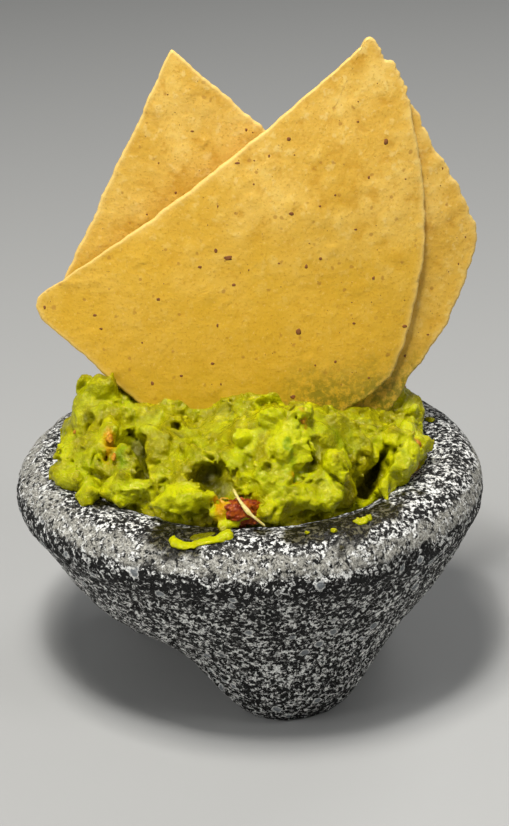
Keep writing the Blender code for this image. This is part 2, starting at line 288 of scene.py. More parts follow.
def ball_directions(rings, sides):
    """Unit directions over a ball, as one shell: bottom pole, rings from the bottom up, top pole."""
    rise = np.linspace(-math.pi / 2, math.pi / 2, rings + 2)[1:-1, None]
    turn = np.linspace(0.0, 2 * math.pi, sides, endpoint=False)
    level = np.cos(rise)
    ring = np.stack([level * np.cos(turn), level * np.sin(turn), np.sin(rise) + 0 * turn], axis=2)
    return np.concatenate([[(0.0, 0.0, -1.0)], ring.reshape(-1, 3), [(0.0, 0.0, 1.0)]])


def frames_on(normals, turns):
    """For each normal, a turned set of axes as rows: two across the surface, then the normal."""
    helper = np.where(np.abs(normals[:, 2:3]) < 0.95, (0.0, 0.0, 1.0), (1.0, 0.0, 0.0))
    across = np.cross(helper, normals)
    across /= np.linalg.norm(across, axis=1, keepdims=True)
    up = np.cross(normals, across)
    cos, sin = np.cos(turns)[:, None], np.sin(turns)[:, None]
    return np.stack([across * cos + up * sin, up * cos - across * sin, normals], axis=1)


# ---- Bowl -------------------------------------------------------------------------------------


def bezier(points, steps):
    """Points along a cubic curve between the first and last point, pulled by the middle two."""
    t = np.linspace(0.0, 1.0, steps)[:, None]
    a, b, c, d = (np.array(point) for point in points)
    return (1 - t) ** 3 * a + 3 * t * (1 - t) ** 2 * b + 3 * t**2 * (1 - t) * c + t**3 * d


def arc(centre, radii, start, end, steps):
    """Points on an ellipse in the (r, z) plane, from one angle to another."""
    turn = np.linspace(start, end, steps)
    return np.stack([centre[0] + radii[0] * np.cos(turn), centre[1] + radii[1] * np.sin(turn)], axis=1)


def lip_arc(start, steps):
    """(r, z) over the lip, from an angle under or at its widest ring up to its top."""
    return arc((LIP_CENTRE, WIDEST_Z), (LIP_WIDTH, LIP_RISE), start, math.pi / 2, steps)


def outer_profile():
    """(r, z) from under the belly's centre up the flank, round under the lip and over it."""
    lip = lip_arc(-LIP_UNDERCUT, 38)
    along = np.array([LIP_WIDTH * math.sin(LIP_UNDERCUT), LIP_RISE * math.cos(LIP_UNDERCUT)])
    flank_pull = lip[0] - FLANK_TENSION * along / np.hypot(*along)
    flank = bezier(((0.0, BELLY_Z), (BELLY_PULL, BELLY_Z), flank_pull, lip[0]), 122)
    return np.concatenate([flank[1:], lip[1:]])


def inner_profile(steps=14):
    """(r, z) from the top of the lip over the shoulder and down the hollow, without its centre."""
    centre = (LIP_CENTRE, RIM_Z - SHOULDER_DROP)
    shoulder = arc(centre, (LIP_CENTRE - MOUTH_RADIUS, SHOULDER_DROP), math.pi / 2, math.pi, steps)
    mouth = (MOUTH_RADIUS, RIM_Z - SHOULDER_DROP)
    hollow = bezier((mouth, HOLLOW_PULL, (HOLLOW_FLAT, HOLLOW_Z), (0.0, HOLLOW_Z)), 18)
    return np.concatenate([shoulder[1:], hollow[1:-1]])


def turned(profile, sides):
    """Rings of points round the Z axis, one for each (r, z) of the profile."""
    turn = np.linspace(0.0, 2 * math.pi, sides, endpoint=False)
    r, z = profile[:, :1], profile[:, 1:]
    return np.stack([r * np.cos(turn), r * np.sin(turn), z + 0 * turn], axis=2)


def lean_belly(rings):
    """Shift the belly sideways between its widest ring and its underside."""
    low = np.clip((WIDEST_Z - rings[..., 2]) / (WIDEST_Z - BELLY_Z), 0.0, 1.0)
    leaned = rings.copy()
    leaned[..., 0] += BELLY_SHIFT * 4.0 * low * (1.0 - low)
    return leaned


def swell_into_legs(rings):
    """Push the outer wall away from a point on the axis, towards each of the three feet."""
    eye = np.array([0.0, 0.0, SWELL_Z])
    reach = np.linalg.norm(rings - eye, axis=2)
    ray = (rings - eye) / reach[..., None]
    swollen = reach.copy()
    for heading, distance, spread_right, spread_left, spread_out in LEGS:
        turn = math.radians(heading)
        foot = np.array([distance * math.cos(turn), distance * math.sin(turn), 0.0]) - eye
        length = np.linalg.norm(foot)
        axis = foot / length
        across = np.array([-math.sin(turn), math.cos(turn), 0.0])
        above = np.cross(axis, across)
        off = ray - (ray @ axis)[..., None] * axis
        angle = np.arccos(np.clip(ray @ axis, -1.0, 1.0)) / (np.linalg.norm(off, axis=2) + 1e-9)
        side, rise = angle * (off @ across), angle * (off @ above)
        spread = np.where(side > 0, spread_right, spread_left)
        spread_up = np.where(rise > 0, spread_out, INWARD_SPREAD)
        weight = np.exp(-np.hypot(side / spread, rise / spread_up) ** SWELL_POWER)
        swollen += np.maximum(length + FOOT_REACH - reach, 0.0) * weight
    shaped = eye + ray * swollen[..., None]
    shaped[..., 2] = np.maximum(shaped[..., 2], 0.0)
    return shaped


def tilt_rim(points):
    """Raise the +X side of everything a little, more towards the rim."""
    tilted = points.copy()
    tilted[..., 2] += RIM_SLOPE * points[..., 0] * np.clip(points[..., 2] / RIM_Z, 0.0, 1.0)
    return tilted


# Where mash has wetted the rim: x, y, radius, strength.
WET_SPOTS = (
    (-15.5, -48.5, 5.5, 1.6), (-9.0, -49.5, 5.0, 1.4), (-19.0, -48.0, 4.0, 1.2), (3.0, -48.0, 3.0, 0.8),
    (11.5, -49.0, 4.0, 1.4), (19.0, -47.5, 5.0, 1.6), (26.0, -43.5, 4.6, 1.5), (33.0, -37.5, 4.0, 1.3),
    (39.0, -30.0, 3.4, 1.0), (-36.0, -31.5, 3.0, 0.7),
)


def wetness(points):
    """How wet the stone is: the sum of the wet spots, with a ragged outline, only on top."""
    wet = np.zeros(points.shape[:-1])
    for x, y, radius, strength in WET_SPOTS:
        away = np.hypot(points[..., 0] - x * MM, points[..., 1] - y * MM) / (radius * MM)
        wet += strength * np.exp(-(away**2))
    wet *= 1.0 + 0.8 * layered_noise(points, 2.5 * MM, 71)
    return fade(wet, 0.25, 0.6) * fade(points[..., 2], 50 * MM, 54 * MM)


def stone_relief(points):
    """Rough stone: slow waves, chips broken out of it, pits and grains, in metres along the normal."""
    waves = 0.35 * MM * layered_noise(points, 11 * MM, 11)
    crooked = stirred(points, 1.2 * MM, 3 * MM, 15)
    away, tag = pebbles(crooked, 6.5 * MM, 21)
    broken = -0.75 * MM * fade(-away, -0.42, -0.12) * (tag > 0.62)
    away, tag = pebbles(crooked, 2.6 * MM, 31)
    pits = -0.42 * MM * fade(-away, -0.45, -0.15) * (tag > 0.55)
    grains = 0.16 * MM * layered_noise(points, 1.7 * MM, 41, layers=2)
    smooth_top = 1.0 - 0.45 * fade(points[..., 2], 54 * MM, 58 * MM)
    return waves + (broken + pits + grains) * smooth_top


def build_bowl(finish):
    """The stone bowl: a turned profile whose belly swells into three legs, with stone relief."""
    outside = swell_into_legs(lean_belly(turned(outer_profile(), BOWL_SIDES)))
    inside = turned(inner_profile(), BOWL_SIDES)
    rings = tilt_rim(np.concatenate([outside, inside]))
    rough = rings + grid_normals(rings) * stone_relief(rings)[..., None]
    rough[..., 2] = np.maximum(rough[..., 2], 0.0)
    add_loft("stone_bowl", rough, finish, "stone", "bowl", wet=wetness(rough))


# ---- Mash -------------------------------------------------------------------------------------


def bed_profile():
    """(r, z) from the hollow's centre out over the shoulder and lip, lifted off the stone."""
    wall = np.concatenate([[(0.0, HOLLOW_Z)], inner_profile(6)[::-1], lip_arc(0.0, 9)[::-1]])
    along = np.gradient(wall, axis=0)
    along[0] = (1.0, 0.0)
    normal = np.stack([-along[:, 1], along[:, 0]], axis=1) / np.hypot(along[:, 0], along[:, 1])[:, None]
    return wall + SKIN * normal


def bed_height(radius):
    """Height of the lifted profile at a radius."""
    bed = bed_profile()
    return np.interp(radius, bed[:, 0], bed[:, 1])


def edge_radius(turn):
    """How far out the heap reaches in each direction."""
    reach = np.full_like(turn, EDGE_RADIUS)
    for heading, spread, amount in EDGE_SWELLS:
        away = (np.degrees(turn) - heading + 180.0) % 360.0 - 180.0
        reach += amount * np.exp(-((away / spread) ** 2))
    return reach


def heap_height(x, y):
    """The heap's dome above the rim plane, with its lumps and hollows."""
    across = np.hypot(x, y) / EDGE_RADIUS
    height = HEAP_RISE - (HEAP_RISE - SIDE_RISE) * np.clip(across, 0.0, 1.0) ** HEAP_POWER
    for lump_x, lump_y, size, rise in LUMPS:
        away = np.hypot(x - lump_x * MM, y - lump_y * MM) / (size * MM)
        height += rise * MM * np.exp(-(away**2))
    return height


def heap_top(x, y, share):
    """Height of the mash. Its edge, at share 1, stands EDGE_DEPTH over the bowl's wall."""
    bed = bed_height(np.hypot(x, y)) + EDGE_DEPTH
    rounding = np.sqrt(np.clip(1.0 - share**7, 0.0, 1.0))
    return bed + np.maximum(RIM_Z + heap_height(x, y) - bed, 1.5 * MM) * rounding


def on_heap(places):
    """Points and outward normals of the smooth heap at each (x, y) of `places`, in metres."""
    def point(x, y):
        share = np.hypot(x, y) / edge_radius(np.arctan2(y, x))
        return tilt_rim(np.stack([x, y, heap_top(x, y, np.minimum(share, 0.995))], axis=-1))

    x, y = places[:, 0], places[:, 1]
    step = 0.8 * MM
    slope_x = point(x + step, y) - point(x - step, y)
    slope_y = point(x, y + step) - point(x, y - step)
    normal = np.cross(slope_x, slope_y)
    return point(x, y), normal / np.linalg.norm(normal, axis=1, keepdims=True)


# Lumps pressed on the heap: x, y, how far they stand out, half sizes across, up the slope and out,
# turn in degrees, and how pale the avocado is, all lengths in millimetres.
NAMED_LUMPS = (
    (-37.0, 0.5, 3.0, 4.2, 4.0, 3.0, 10, 0.4),
    (-41.5, 3.0, 3.2, 1.1, 3.0, 3.0, 20, 0.2),
    (-45.0, -20.0, 1.6, 5.2, 3.8, 3.4, -10, 0.4),
    (-46.0, -13.0, 2.8, 3.6, 3.4, 2.8, 0, 0.8),
    (-40.5, -5.0, 2.6, 5.6, 7.0, 3.2, 30, 0.2),
    (-35.5, -16.5, 2.6, 3.4, 7.0, 3.0, 30, 0.3),
    (-39.0, -27.5, 2.2, 4.6, 3.6, 3.2, 20, 0.4),
    (-31.0, -31.0, 2.2, 4.8, 4.4, 3.2, 5, 0.5),
    (-24.5, -18.5, 3.2, 2.8, 8.5, 3.4, 42, 0.1),
    (-22.5, -31.0, 2.6, 2.6, 4.6, 2.8, 0, 0.3),
    (-14.5, -27.5, 3.2, 1.5, 4.8, 2.6, 25, 0.1),
    (-8.0, -25.5, 3.2, 5.0, 1.6, 2.8, -8, 0.1),
    (-4.0, -19.0, 2.2, 6.0, 4.6, 2.6, 15, 0.0),
    (-1.0, -27.5, 3.2, 2.8, 2.8, 2.6, 0, 0.9),
    (10.0, -32.0, 3.6, 5.6, 5.8, 3.4, 15, 1.0),
    (5.5, -26.5, 3.2, 3.8, 2.6, 2.8, 40, 0.7),
    (13.0, -26.0, 3.4, 4.8, 2.4, 2.6, -12, 0.6),
    (5.0, -36.5, 3.6, 6.6, 5.6, 4.6, 0, 0.4),
    (12.5, -38.0, 3.0, 6.4, 5.2, 4.2, 20, 0.4),
    (19.5, -35.5, 2.4, 4.4, 4.8, 4.0, -15, 0.3),
    (20.0, -32.0, 4.2, 4.0, 4.6, 2.0, 10, 1.0),
    (17.5, -20.0, 2.8, 1.5, 7.4, 2.8, -8, 0.4),
    (21.5, -19.5, 3.0, 1.5, 7.6, 2.8, -10, 0.2),
    (25.0, -19.0, 2.6, 1.6, 7.0, 2.6, -16, 0.0),
    (37.0, -21.5, 3.2, 6.0, 8.0, 5.0, -22, 1.0),
    (42.5, -11.0, 1.6, 3.6, 5.4, 3.8, -10, 0.6),
    (42.0, -2.0, 1.6, 3.2, 4.6, 3.0, 10, 0.4),
    (32.5, -28.0, 2.4, 4.0, 3.4, 3.4, 35, 1.0),
    (37.0, 6.5, 3.0, 2.6, 2.6, 2.8, 10, 0.5),
    (42.0, 3.5, 2.0, 1.5, 2.2, 1.8, 10, 0.4),
    (5.0, -9.0, 2.6, 1.2, 3.2, 1.8, 0, 0.7),
)
# Hollows torn into the heap: as the lumps, with their depth, and without the shade.
NAMED_HOLLOWS = (
    (-30.6, -15.5, 7.5, 1.5, 7.0, 8.0, 40),
    (-28.8, -19.5, 8.0, 1.6, 6.5, 8.0, 36),
    (-26.8, -25.0, 6.5, 1.5, 5.2, 7.0, 26),
    (-26.5, -36.0, 2.4, 2.6, 1.8, 3.0, 0),
    (-40.5, -21.8, 2.4, 3.6, 1.1, 3.2, 20),
    (-43.0, -9.0, 2.0, 1.1, 4.2, 2.8, 30),
    (30.5, -23.5, 7.0, 1.9, 8.5, 8.0, -34),
    (33.0, -12.0, 5.0, 1.7, 7.5, 6.0, -14),
    (26.3, -31.5, 7.0, 1.8, 7.0, 8.0, -24),
    (41.0, -27.5, 2.0, 1.6, 1.6, 2.4, 0),
    (24.8, -29.0, 1.8, 1.1, 4.5, 3.4, 20),
    (14.8, -33.0, 0.4, 1.0, 4.8, 3.0, 10),
    (-0.5, -33.5, 1.2, 1.1, 4.4, 3.4, -10),
)
# Caves that reach level into the front: x, y, z and half sizes. The last one bares the tomato.
CAVES = (
    (-8.2, -38.0, 65.8, 5.0, 9.0, 4.2),
    (-5.0, -41.0, 63.8, 3.0, 6.0, 2.4),
    (-1.6, -46.5, 62.6, 4.8, 5.6, 2.8),
)
# Lumps in front of the caves: x, y, z, half sizes, and how pale they are.
FRONT_LUMPS = (
    (-16.6, -40.4, 62.4, 7.0, 3.8, 4.6, 0.9),
    (-11.0, -41.8, 65.2, 2.6, 2.0, 2.0, 0.7),
    (-2.4, -45.3, 60.2, 5.2, 1.6, 1.9, 1.0),
    (-6.4, -43.4, 62.2, 2.6, 1.9, 3.0, 0.6),
    (4.8, -42.0, 60.6, 3.0, 2.6, 3.2, 0.5),
)
# The number of lumps scattered over the back, the mash's lowest level, the Y of the parting between
# its two halves and how far that bends back 50 mm from the middle, the grids' steps, how far from
# the smooth heap lumps and relief reach, how far relief lowers the mash, how far inside the packed
# heap's edge it stays, the fillet where shapes meet, and the two halves' boxes in millimetres.
EXTRA_LUMPS = 34
MASH_FLOOR_Z = 51.0 * MM
PARTING_DEPTH = 7.0 * MM
PARTING_Y = -1.0 * MM
FRONT_STEP = 0.47 * MM
BACK_STEP = 0.52 * MM
LUMP_REACH = 9.0 * MM
BAND = 4.2 * MM
MASH_SINK = 0.6 * MM
EDGE_INSET = 3.2 * MM
FILLET = 0.9 * MM
FRONT_BOX = ((-57, -53, 50), (53, 8, 84))
BACK_BOX = ((-57, -3, 50), (53, 52, 84))


def spread_over_heap(count, inner, outer, seed):
    """(x, y) places that fill a ring of the heap evenly: golden-angle turns, each a little astray."""
    rng = np.random.default_rng(seed)
    k = np.arange(count)
    radius = np.sqrt(inner**2 + (outer**2 - inner**2) * (k + rng.random(count)) / count) * EDGE_RADIUS
    turn = k * math.pi * (3.0 - math.sqrt(5.0)) + rng.normal(0.0, 0.25, count)
    return np.stack([radius * np.cos(turn), radius * np.sin(turn)], axis=1)


def balls_on_heap(rows, side=1.0):
    """Centre, axes and half sizes in metres of lumps (side 1) or hollows (side -1), from rows of
    x, y, how far they stand out or sink in, half sizes and turn."""
    centres, normals = on_heap(rows[:, :2] * MM)
    centres = centres + normals * side * (rows[:, 2:3] - rows[:, 5:6]) * MM
    return list(zip(centres, frames_on(normals, np.radians(rows[:, 6])), rows[:, 3:6] * MM))


def level_balls(rows):
    """The same for rows of x, y, z and half sizes, with level axes."""
    return [(row[:3] * MM, np.eye(3), row[3:6] * MM) for row in rows]


def all_lumps():
    """The named lumps, and others scattered over the back of the heap."""
    rng = np.random.default_rng(5)
    places = spread_over_heap(EXTRA_LUMPS, 0.35, 0.98, 7)
    places = places[places[:, 1] > 0.1 * EDGE_RADIUS] / MM
    count = len(places)
    sizes = rng.uniform((2.6, 2.4, 2.4), (6.0, 5.0, 3.6), (count, 3))
    extra = np.column_stack([places, rng.uniform(1.6, 3.2, count), sizes, rng.uniform(-90, 90, count),
                             rng.uniform(0.0, 1.0, count)])
    return np.concatenate([np.array(NAMED_LUMPS), extra])


def heap_field(points):
    """How far a point is over the smooth heap, or outside its edge, or under its floor."""
    x, y, z = np.moveaxis(points, -1, 0)
    reach = edge_radius(np.arctan2(y, x))
    radius = np.hypot(x, y)
    top = heap_top(x, y, np.clip(radius / reach, 0.0, 1.0)) + RIM_SLOPE * x
    return np.maximum((z - top) * 0.75, radius - reach + EDGE_INSET)


def ball_field(points, centre, axes, halves):
    """About the distance to an ellipsoid, from how far out a point is in shares of its half sizes."""
    local = (points - centre) @ axes.T
    share = np.linalg.norm(local / halves, axis=-1)
    steep = np.linalg.norm(local / halves**2, axis=-1)
    return share * (share - 1.0) / (steep + 1e-9)


def soft_min(first, second, blend):
    """The smaller of two fields, with a fillet where they are within `blend` of each other."""
    near = np.maximum(blend - np.abs(first - second), 0.0)
    return np.minimum(first, second) - near**2 / (4.0 * blend)


def torn_relief(points):
    """Chunky mash: lumps in three sizes, torn crests, and patches that are smeared smooth. In
    metres, with how deep each point lies between the lumps, which the mash's finish paints as shade."""
    crooked = stirred(points, 1.5 * MM, 3.0 * MM, 105)
    rough = 1.0 - fade(layered_noise(points, 8 * MM, 111), -0.2, 0.4)
    big, tag = pebbles(crooked, 5.2 * MM, 121)
    middle, middle_tag = pebbles(crooked, 2.3 * MM, 131)
    small, small_tag = pebbles(crooked, 1.15 * MM, 141)
    crests = 1.0 - 2.0 * np.abs(layered_noise(crooked, 4.6 * MM, 145, layers=4, keep=0.55))
    relief = 0.9 * MM * (0.4 - big**2) * (0.5 + tag)
    relief += 0.85 * MM * crests * (0.5 + 0.5 * rough)
    relief += 0.65 * MM * (0.4 - middle**2) * (0.2 + 1.3 * middle_tag) * (0.25 + 0.75 * rough)
    relief += 0.40 * MM * (0.4 - small**2) * (0.3 + small_tag) * (0.25 + 0.75 * rough)
    return relief - MASH_SINK, fade(-relief, 0.05 * MM, 0.8 * MM)


def melted(field, points, balls, sign=1.0):
    """The field with balls melted on, or cut out where the sign is -1."""
    for centre, axes, halves in balls:
        near = np.linalg.norm(points - centre, axis=-1) < halves.max() + 2.5 * MM
        ball = ball_field(points[near], centre, axes, halves)
        field[near] = sign * soft_min(sign * field[near], ball, FILLET)
    return field


def mash_field(points, lumps, hollows, front_lumps):
    """The heap with lumps melted on, hollows cut out and then the front lumps, negative inside."""
    field = melted(heap_field(points), points, lumps)
    field = melted(field, points, hollows, -1.0)
    return melted(field, points, front_lumps)


def neighbours(axis):
    """Index of all of a grid but its last layer along an axis, and of all but its first."""
    behind, ahead = [slice(None)] * 3, [slice(None)] * 3
    behind[axis], ahead[axis] = slice(None, -1), slice(1, None)
    return tuple(behind), tuple(ahead)


def joined_to_core(field, core):
    """The field without loose islands: what is inside but can't be reached from the core."""
    inside = field < 0.0
    grown = inside & (field < core)
    size = 0
    while grown.sum() != size:
        size = grown.sum()
        for axis in range(3):
            behind, ahead = neighbours(axis)
            spread = grown.copy()
            spread[ahead] |= grown[behind]
            spread[behind] |= grown[ahead]
            grown = spread & inside
    return np.where(inside & ~grown, np.abs(field) + 1e-5, field)


def net_surface(field, corner, step):
    """Points and quads of the surface where grid values pass zero, negative inside: each cube it
    crosses gets a point, the mean of its edges' crossings, and each grid edge it crosses gets a
    quad of the four cubes round that edge."""
    inside = field < 0.0
    sides = (slice(None, -1), slice(1, None))
    total = sum(inside[side].astype(np.int8) for side in product(sides, repeat=3))
    crossed = (total > 0) & (total < 8)
    number = np.full(crossed.shape, -1)
    number[crossed] = np.arange(crossed.sum())
    home = np.argwhere(crossed)
    sums, hits = np.zeros(home.shape), np.zeros(len(home))
    unit = np.eye(3, dtype=int)
    quads = []
    for axis in range(3):
        for sideways in product((0, 1), repeat=2):
            start = home + np.insert(sideways, axis, 0)
            end = start + unit[axis]
            low, high = field[tuple(start.T)], field[tuple(end.T)]
            cross = (low < 0.0) != (high < 0.0)
            spot = start.astype(float)
            spot[:, axis] += low / np.where(cross, low - high, 1.0)
            sums += np.where(cross[:, None], spot, 0.0)
            hits += cross
        behind, ahead = neighbours(axis)
        edge = np.argwhere(inside[ahead] != inside[behind])
        b, c = unit[(axis + 1) % 3], unit[(axis + 2) % 3]
        four = np.stack([number[tuple((edge - shift).T)] for shift in (0 * b, b, b + c, c)], axis=1)
        leaves = inside[tuple(edge.T)]
        quads.append(np.where(leaves[:, None], four, four[:, ::-1]))
    return corner + step * sums / hits[:, None], np.concatenate(quads)


# Where chilli and tomato have tinted the mash, and where herbs have: x, y, radius, strength.
WARM_SPOTS = (
    (-34.8, -17.5, 2.6, 1.0), (-33.5, -13.5, 2.0, 0.5), (-35.5, -21.5, 1.8, 0.7), (12.7, -27.5, 1.5, 0.9),
    (11.0, -36.8, 1.4, 0.8), (41.0, -16.0, 2.2, 1.6), (43.0, -10.0, 1.6, 0.5), (20.0, -33.0, 1.5, 0.3),
    (-6.4, -43.6, 2.6, 1.2), (30.0, 27.0, 2.6, 0.8), (-12.0, 38.0, 2.6, 0.8), (-36.0, 20.0, 2.4, 0.7),
)
GREEN_SPOTS = (
    (-31.5, -21.5, 2.4, 0.9), (-32.5, -25.0, 1.6, 0.6), (9.8, -35.0, 1.7, 1.0), (21.5, -24.0, 3.0, 0.7),
    (24.5, -20.0, 2.2, 0.5), (38.0, -22.5, 2.2, 0.6), (10.0, -45.5, 2.4, 0.9), (-38.0, -29.0, 2.0, 0.6),
    (12.0, -31.0, 2.6, 0.5), (33.0, 20.0, 3.0, 0.7), (-30.0, 26.0, 3.0, 0.7), (4.0, 38.0, 2.8, 0.7),
)


def tint(points, spots, seed):
    """How strongly named spots tint each point: round spots with an outline ragged by noise."""
    total = np.zeros(len(points))
    crooked = stirred(points, 1.6 * MM, 2.2 * MM, seed)
    for x, y, radius, strength in spots:
        away = np.hypot(crooked[:, 0] - x * MM, crooked[:, 1] - y * MM) / (radius * MM)
        total = np.maximum(total, strength * np.exp(-(away**2)))
    return total


def mash_grid(box, step):
    """The points of a grid with this step between two corners in millimetres."""
    low, high = np.array(box) * MM
    counts = np.ceil((high - low) / step).astype(int)
    return low + step * np.stack(np.meshgrid(*(np.arange(n) for n in counts), indexing="ij"), axis=-1)


def torn_field(grid, balls):
    """The mash's field: full near the heap, and with crooked shapes and torn relief closer to it."""
    field = heap_field(grid)
    reached = np.abs(field) < LUMP_REACH
    field[reached] = mash_field(grid[reached], *balls)
    band = np.abs(field) < BAND
    near = grid[band]
    crooked = stirred(stirred(near, 1.9 * MM, 6.0 * MM, 101), 0.6 * MM, 2.0 * MM, 103)
    field[band] = mash_field(crooked, *balls) - torn_relief(near)[0]
    return field


def build_mash(name, finish, step, box, front, stands_for):
    """The mash in a box, on its own side of a parting that follows the chips' bend: a net surface
    of the field of heap, lumps, hollows and torn relief on a grid."""
    rows, front_rows = all_lumps(), np.array(FRONT_LUMPS)
    hollows = balls_on_heap(np.array(NAMED_HOLLOWS), -1.0) + level_balls(np.array(CAVES))
    balls = (balls_on_heap(rows), hollows, level_balls(front_rows))
    grid = mash_grid(box, step)
    field = joined_to_core(torn_field(grid, balls), -1.5 * MM)
    parting = grid[..., 1] - PARTING_DEPTH * (grid[..., 0] / (50.0 * MM)) ** 2 - PARTING_Y
    field = np.maximum(field, parting if front else -parting)
    field = np.maximum(field, MASH_FLOOR_Z - grid[..., 2])
    field = np.pad(field[1:-1, 1:-1, 1:-1], 1, constant_values=step)
    points, quads = net_surface(field, grid[0, 0, 0], step)
    # Depth below the smooth heap: with the relief's creases it masks the painted shade in hollows and
    # between lumps.
    deep = fade(-heap_field(points), 0.8 * MM, 4.5 * MM)
    pale = np.zeros(len(points))
    for (centre, axes, halves), row in zip(balls[0] + balls[2], [*rows, *front_rows]):
        inside = fade(-ball_field(points, centre, axes, halves), -1.2 * MM, 0.2 * MM)
        pale = np.maximum(pale, row[-1] * inside)
    marks = {
        "crease": np.maximum(0.75 * torn_relief(points)[1], deep),
        "pale": pale,
        "warm": tint(points, WARM_SPOTS, 191),
        "green": tint(points, GREEN_SPOTS, 195),
    }
    add_mesh(name, points, quads, np.zeros((0, 3), int), finish, "mash", stands_for, **marks)


def shaped_balls(centres, axes, halves, grid, seed):
    """Balls stretched by their half sizes along their own axes, and bent and dented by noise."""
    directions = ball_directions(*grid)
    points = centres[:, None] + np.einsum("bvk,bkj->bvj", directions[None] * halves[:, None], axes)
    outward = np.einsum("bvk,bkj->bvj", directions[None] / halves[:, None], axes)
    outward /= np.linalg.norm(outward, axis=2, keepdims=True)
    size = halves.min(axis=1)[:, None, None]
    rough = layered_noise(points / size, 1.5, seed, layers=3, keep=0.6)
    return points + outward * (0.55 * size * rough[..., None])


# ---- Things in and on the mash ------------------------------------------------------------------


def along_path(corners, steps):
    """A smooth path through the corners by cubic pieces, with its directions of travel."""
    corners = np.array(corners, float)
    padded = np.concatenate([2 * corners[:1] - corners[1:2], corners, 2 * corners[-1:] - corners[-2:-1]])
    t = np.linspace(0.0, 1.0, steps, endpoint=False)[:, None]
    spans = []
    for a, b, c, d in zip(padded, padded[1:], padded[2:], padded[3:]):
        square, cube = 2 * a - 5 * b + 4 * c - d, 3 * b - a - 3 * c + d
        spans.append(0.5 * (2 * b + (c - a) * t + square * t**2 + cube * t**3))
    path = np.concatenate(spans + [corners[-1:]])
    ahead = np.gradient(path[:, :3], axis=0)
    return path, ahead / np.linalg.norm(ahead, axis=1, keepdims=True)


def rope(corners, steps, sides):
    """A strand, from rows of x, y, z, half width and half height: an ellipse carried along a smooth
    path, which thins to round ends by the root of a circle."""
    path, ahead = along_path(corners, steps)
    path, wide, high = path[:, :3], path[:, 3], path[:, 4]
    across = np.cross(ahead, (0.0, 0.0, 1.0))
    across /= np.linalg.norm(across, axis=1, keepdims=True)
    above = np.cross(across, ahead)
    run = np.concatenate([[0.0], np.linalg.norm(np.diff(path, axis=0), axis=1).cumsum()])
    end = np.clip(np.minimum(run, run[-1] - run) / (1.2 * wide.max()), 0.02, 1.0)
    taper = np.sqrt(1.0 - (1.0 - end) ** 2)
    turn = np.linspace(0.0, 2 * math.pi, sides, endpoint=False)
    out = (taper * wide)[:, None, None] * np.cos(turn)[None, :, None] * across[:, None]
    up = (taper * high)[:, None, None] * np.sin(turn)[None, :, None] * above[:, None]
    return path[:, None] - out + up


def on_rim(x, y, lift):
    """A point on the stone's rim, in metres, with x, y and the lift in millimetres."""
    flat = np.array([x * MM, y * MM, bed_height(math.hypot(x, y) * MM) - SKIN + lift * MM])
    return tilt_rim(flat)


# A curl of mash on the rim and a thin film inside the curl, as x, y, half width and half height,
# and small drops as x, y, half width and half height.
SMEAR_PATH = (
    (-17.6, -49.2, 0.5, 0.4), (-17.8, -51.0, 1.1, 0.7), (-16.2, -52.6, 1.6, 0.8), (-13.6, -53.0, 1.5, 0.5),
    (-11.2, -52.4, 1.3, 0.45), (-8.6, -51.9, 1.5, 0.7), (-6.4, -51.5, 1.7, 1.2), (-5.0, -50.4, 1.5, 1.5),
    (-5.2, -49.2, 1.3, 1.5), (-6.2, -48.6, 0.9, 1.0),
)
SMEAR_FILM = (
    (-14.0, -51.2, 1.2, 0.2), (-11.5, -50.2, 1.4, 0.25), (-9.0, -49.0, 1.0, 0.25), (-8.0, -48.2, 0.5, 0.2),
)
RIM_DRIPS = (
    (13.6, -49.4, 0.5, 0.4), (20.0, -48.4, 0.7, 0.5), (26.6, -44.2, 1.5, 0.8), (28.4, -42.6, 1.0, 0.7),
    (-31.0, 38.0, 1.6, 0.9), (20.0, 46.5, 1.3, 0.7), (47.5, 14.0, 1.0, 0.6),
)


def add_smear(name, path, crease, finish):
    """Mash smeared along a path on the rim, uneven in its width and height."""
    rings = rope([(*on_rim(x, y, 0.2), wide * MM, high * MM) for x, y, wide, high in path], 14, 24)
    middle = rings.mean(axis=1, keepdims=True)
    uneven = 1.0 + 0.30 * layered_noise(rings, 1.6 * MM, 171)
    rings = middle + (rings - middle) * uneven[..., None]
    rings[..., 2] += 0.12 * MM * layered_noise(rings, 1.0 * MM, 175)
    # The smear gets one value of this mark: 0 on the curl, and on the thin film the full dark olive that
    # paints shade in the mash.
    add_loft(name, rings, finish, "mash", crease=crease, pale=0.7)


def build_rim_drips(finish):
    """Small drops of mash that fell on the rim."""
    drips = np.array(RIM_DRIPS)
    centres = np.array([on_rim(x, y, 0.1) for x, y in drips[:, :2]])
    halves = np.stack([1.3 * drips[:, 2], drips[:, 2], drips[:, 3]], axis=1) * MM
    axes = frames_on(np.tile((0.0, 0.0, 1.0), (len(drips), 1)), drips[:, 0])
    shells = shaped_balls(centres, axes, halves, (12, 20), 700)
    add_shells("rim_drips", shells, 12, 20, finish, "mash", pale=0.4)


def turning(degrees, axis):
    """The matrix that turns columns about an axis."""
    return np.array(Matrix.Rotation(math.radians(degrees), 3, axis))


def build_tomato(finish):
    """The tomato piece: a ball squared off towards a rounded block, dented all over by noise."""
    rings, sides = 60, 96
    directions = ball_directions(rings, sides)
    size = (np.abs(directions) ** TOMATO_POWER).sum(axis=1) ** (1 / TOMATO_POWER)
    block = directions / size[:, None]
    block *= (1.0 + 0.34 * layered_noise(block * 5 * MM, 3.6 * MM, 181, layers=4, keep=0.6))[:, None]
    turn = turning(TOMATO_TURN, "Z") @ turning(TOMATO_TILT, "X")
    points = TOMATO_CENTRE + (block * TOMATO_HALF) @ turn.T
    add_shells("tomato_chunk", points[None], rings, sides, finish, "tomato", "tomato_piece")


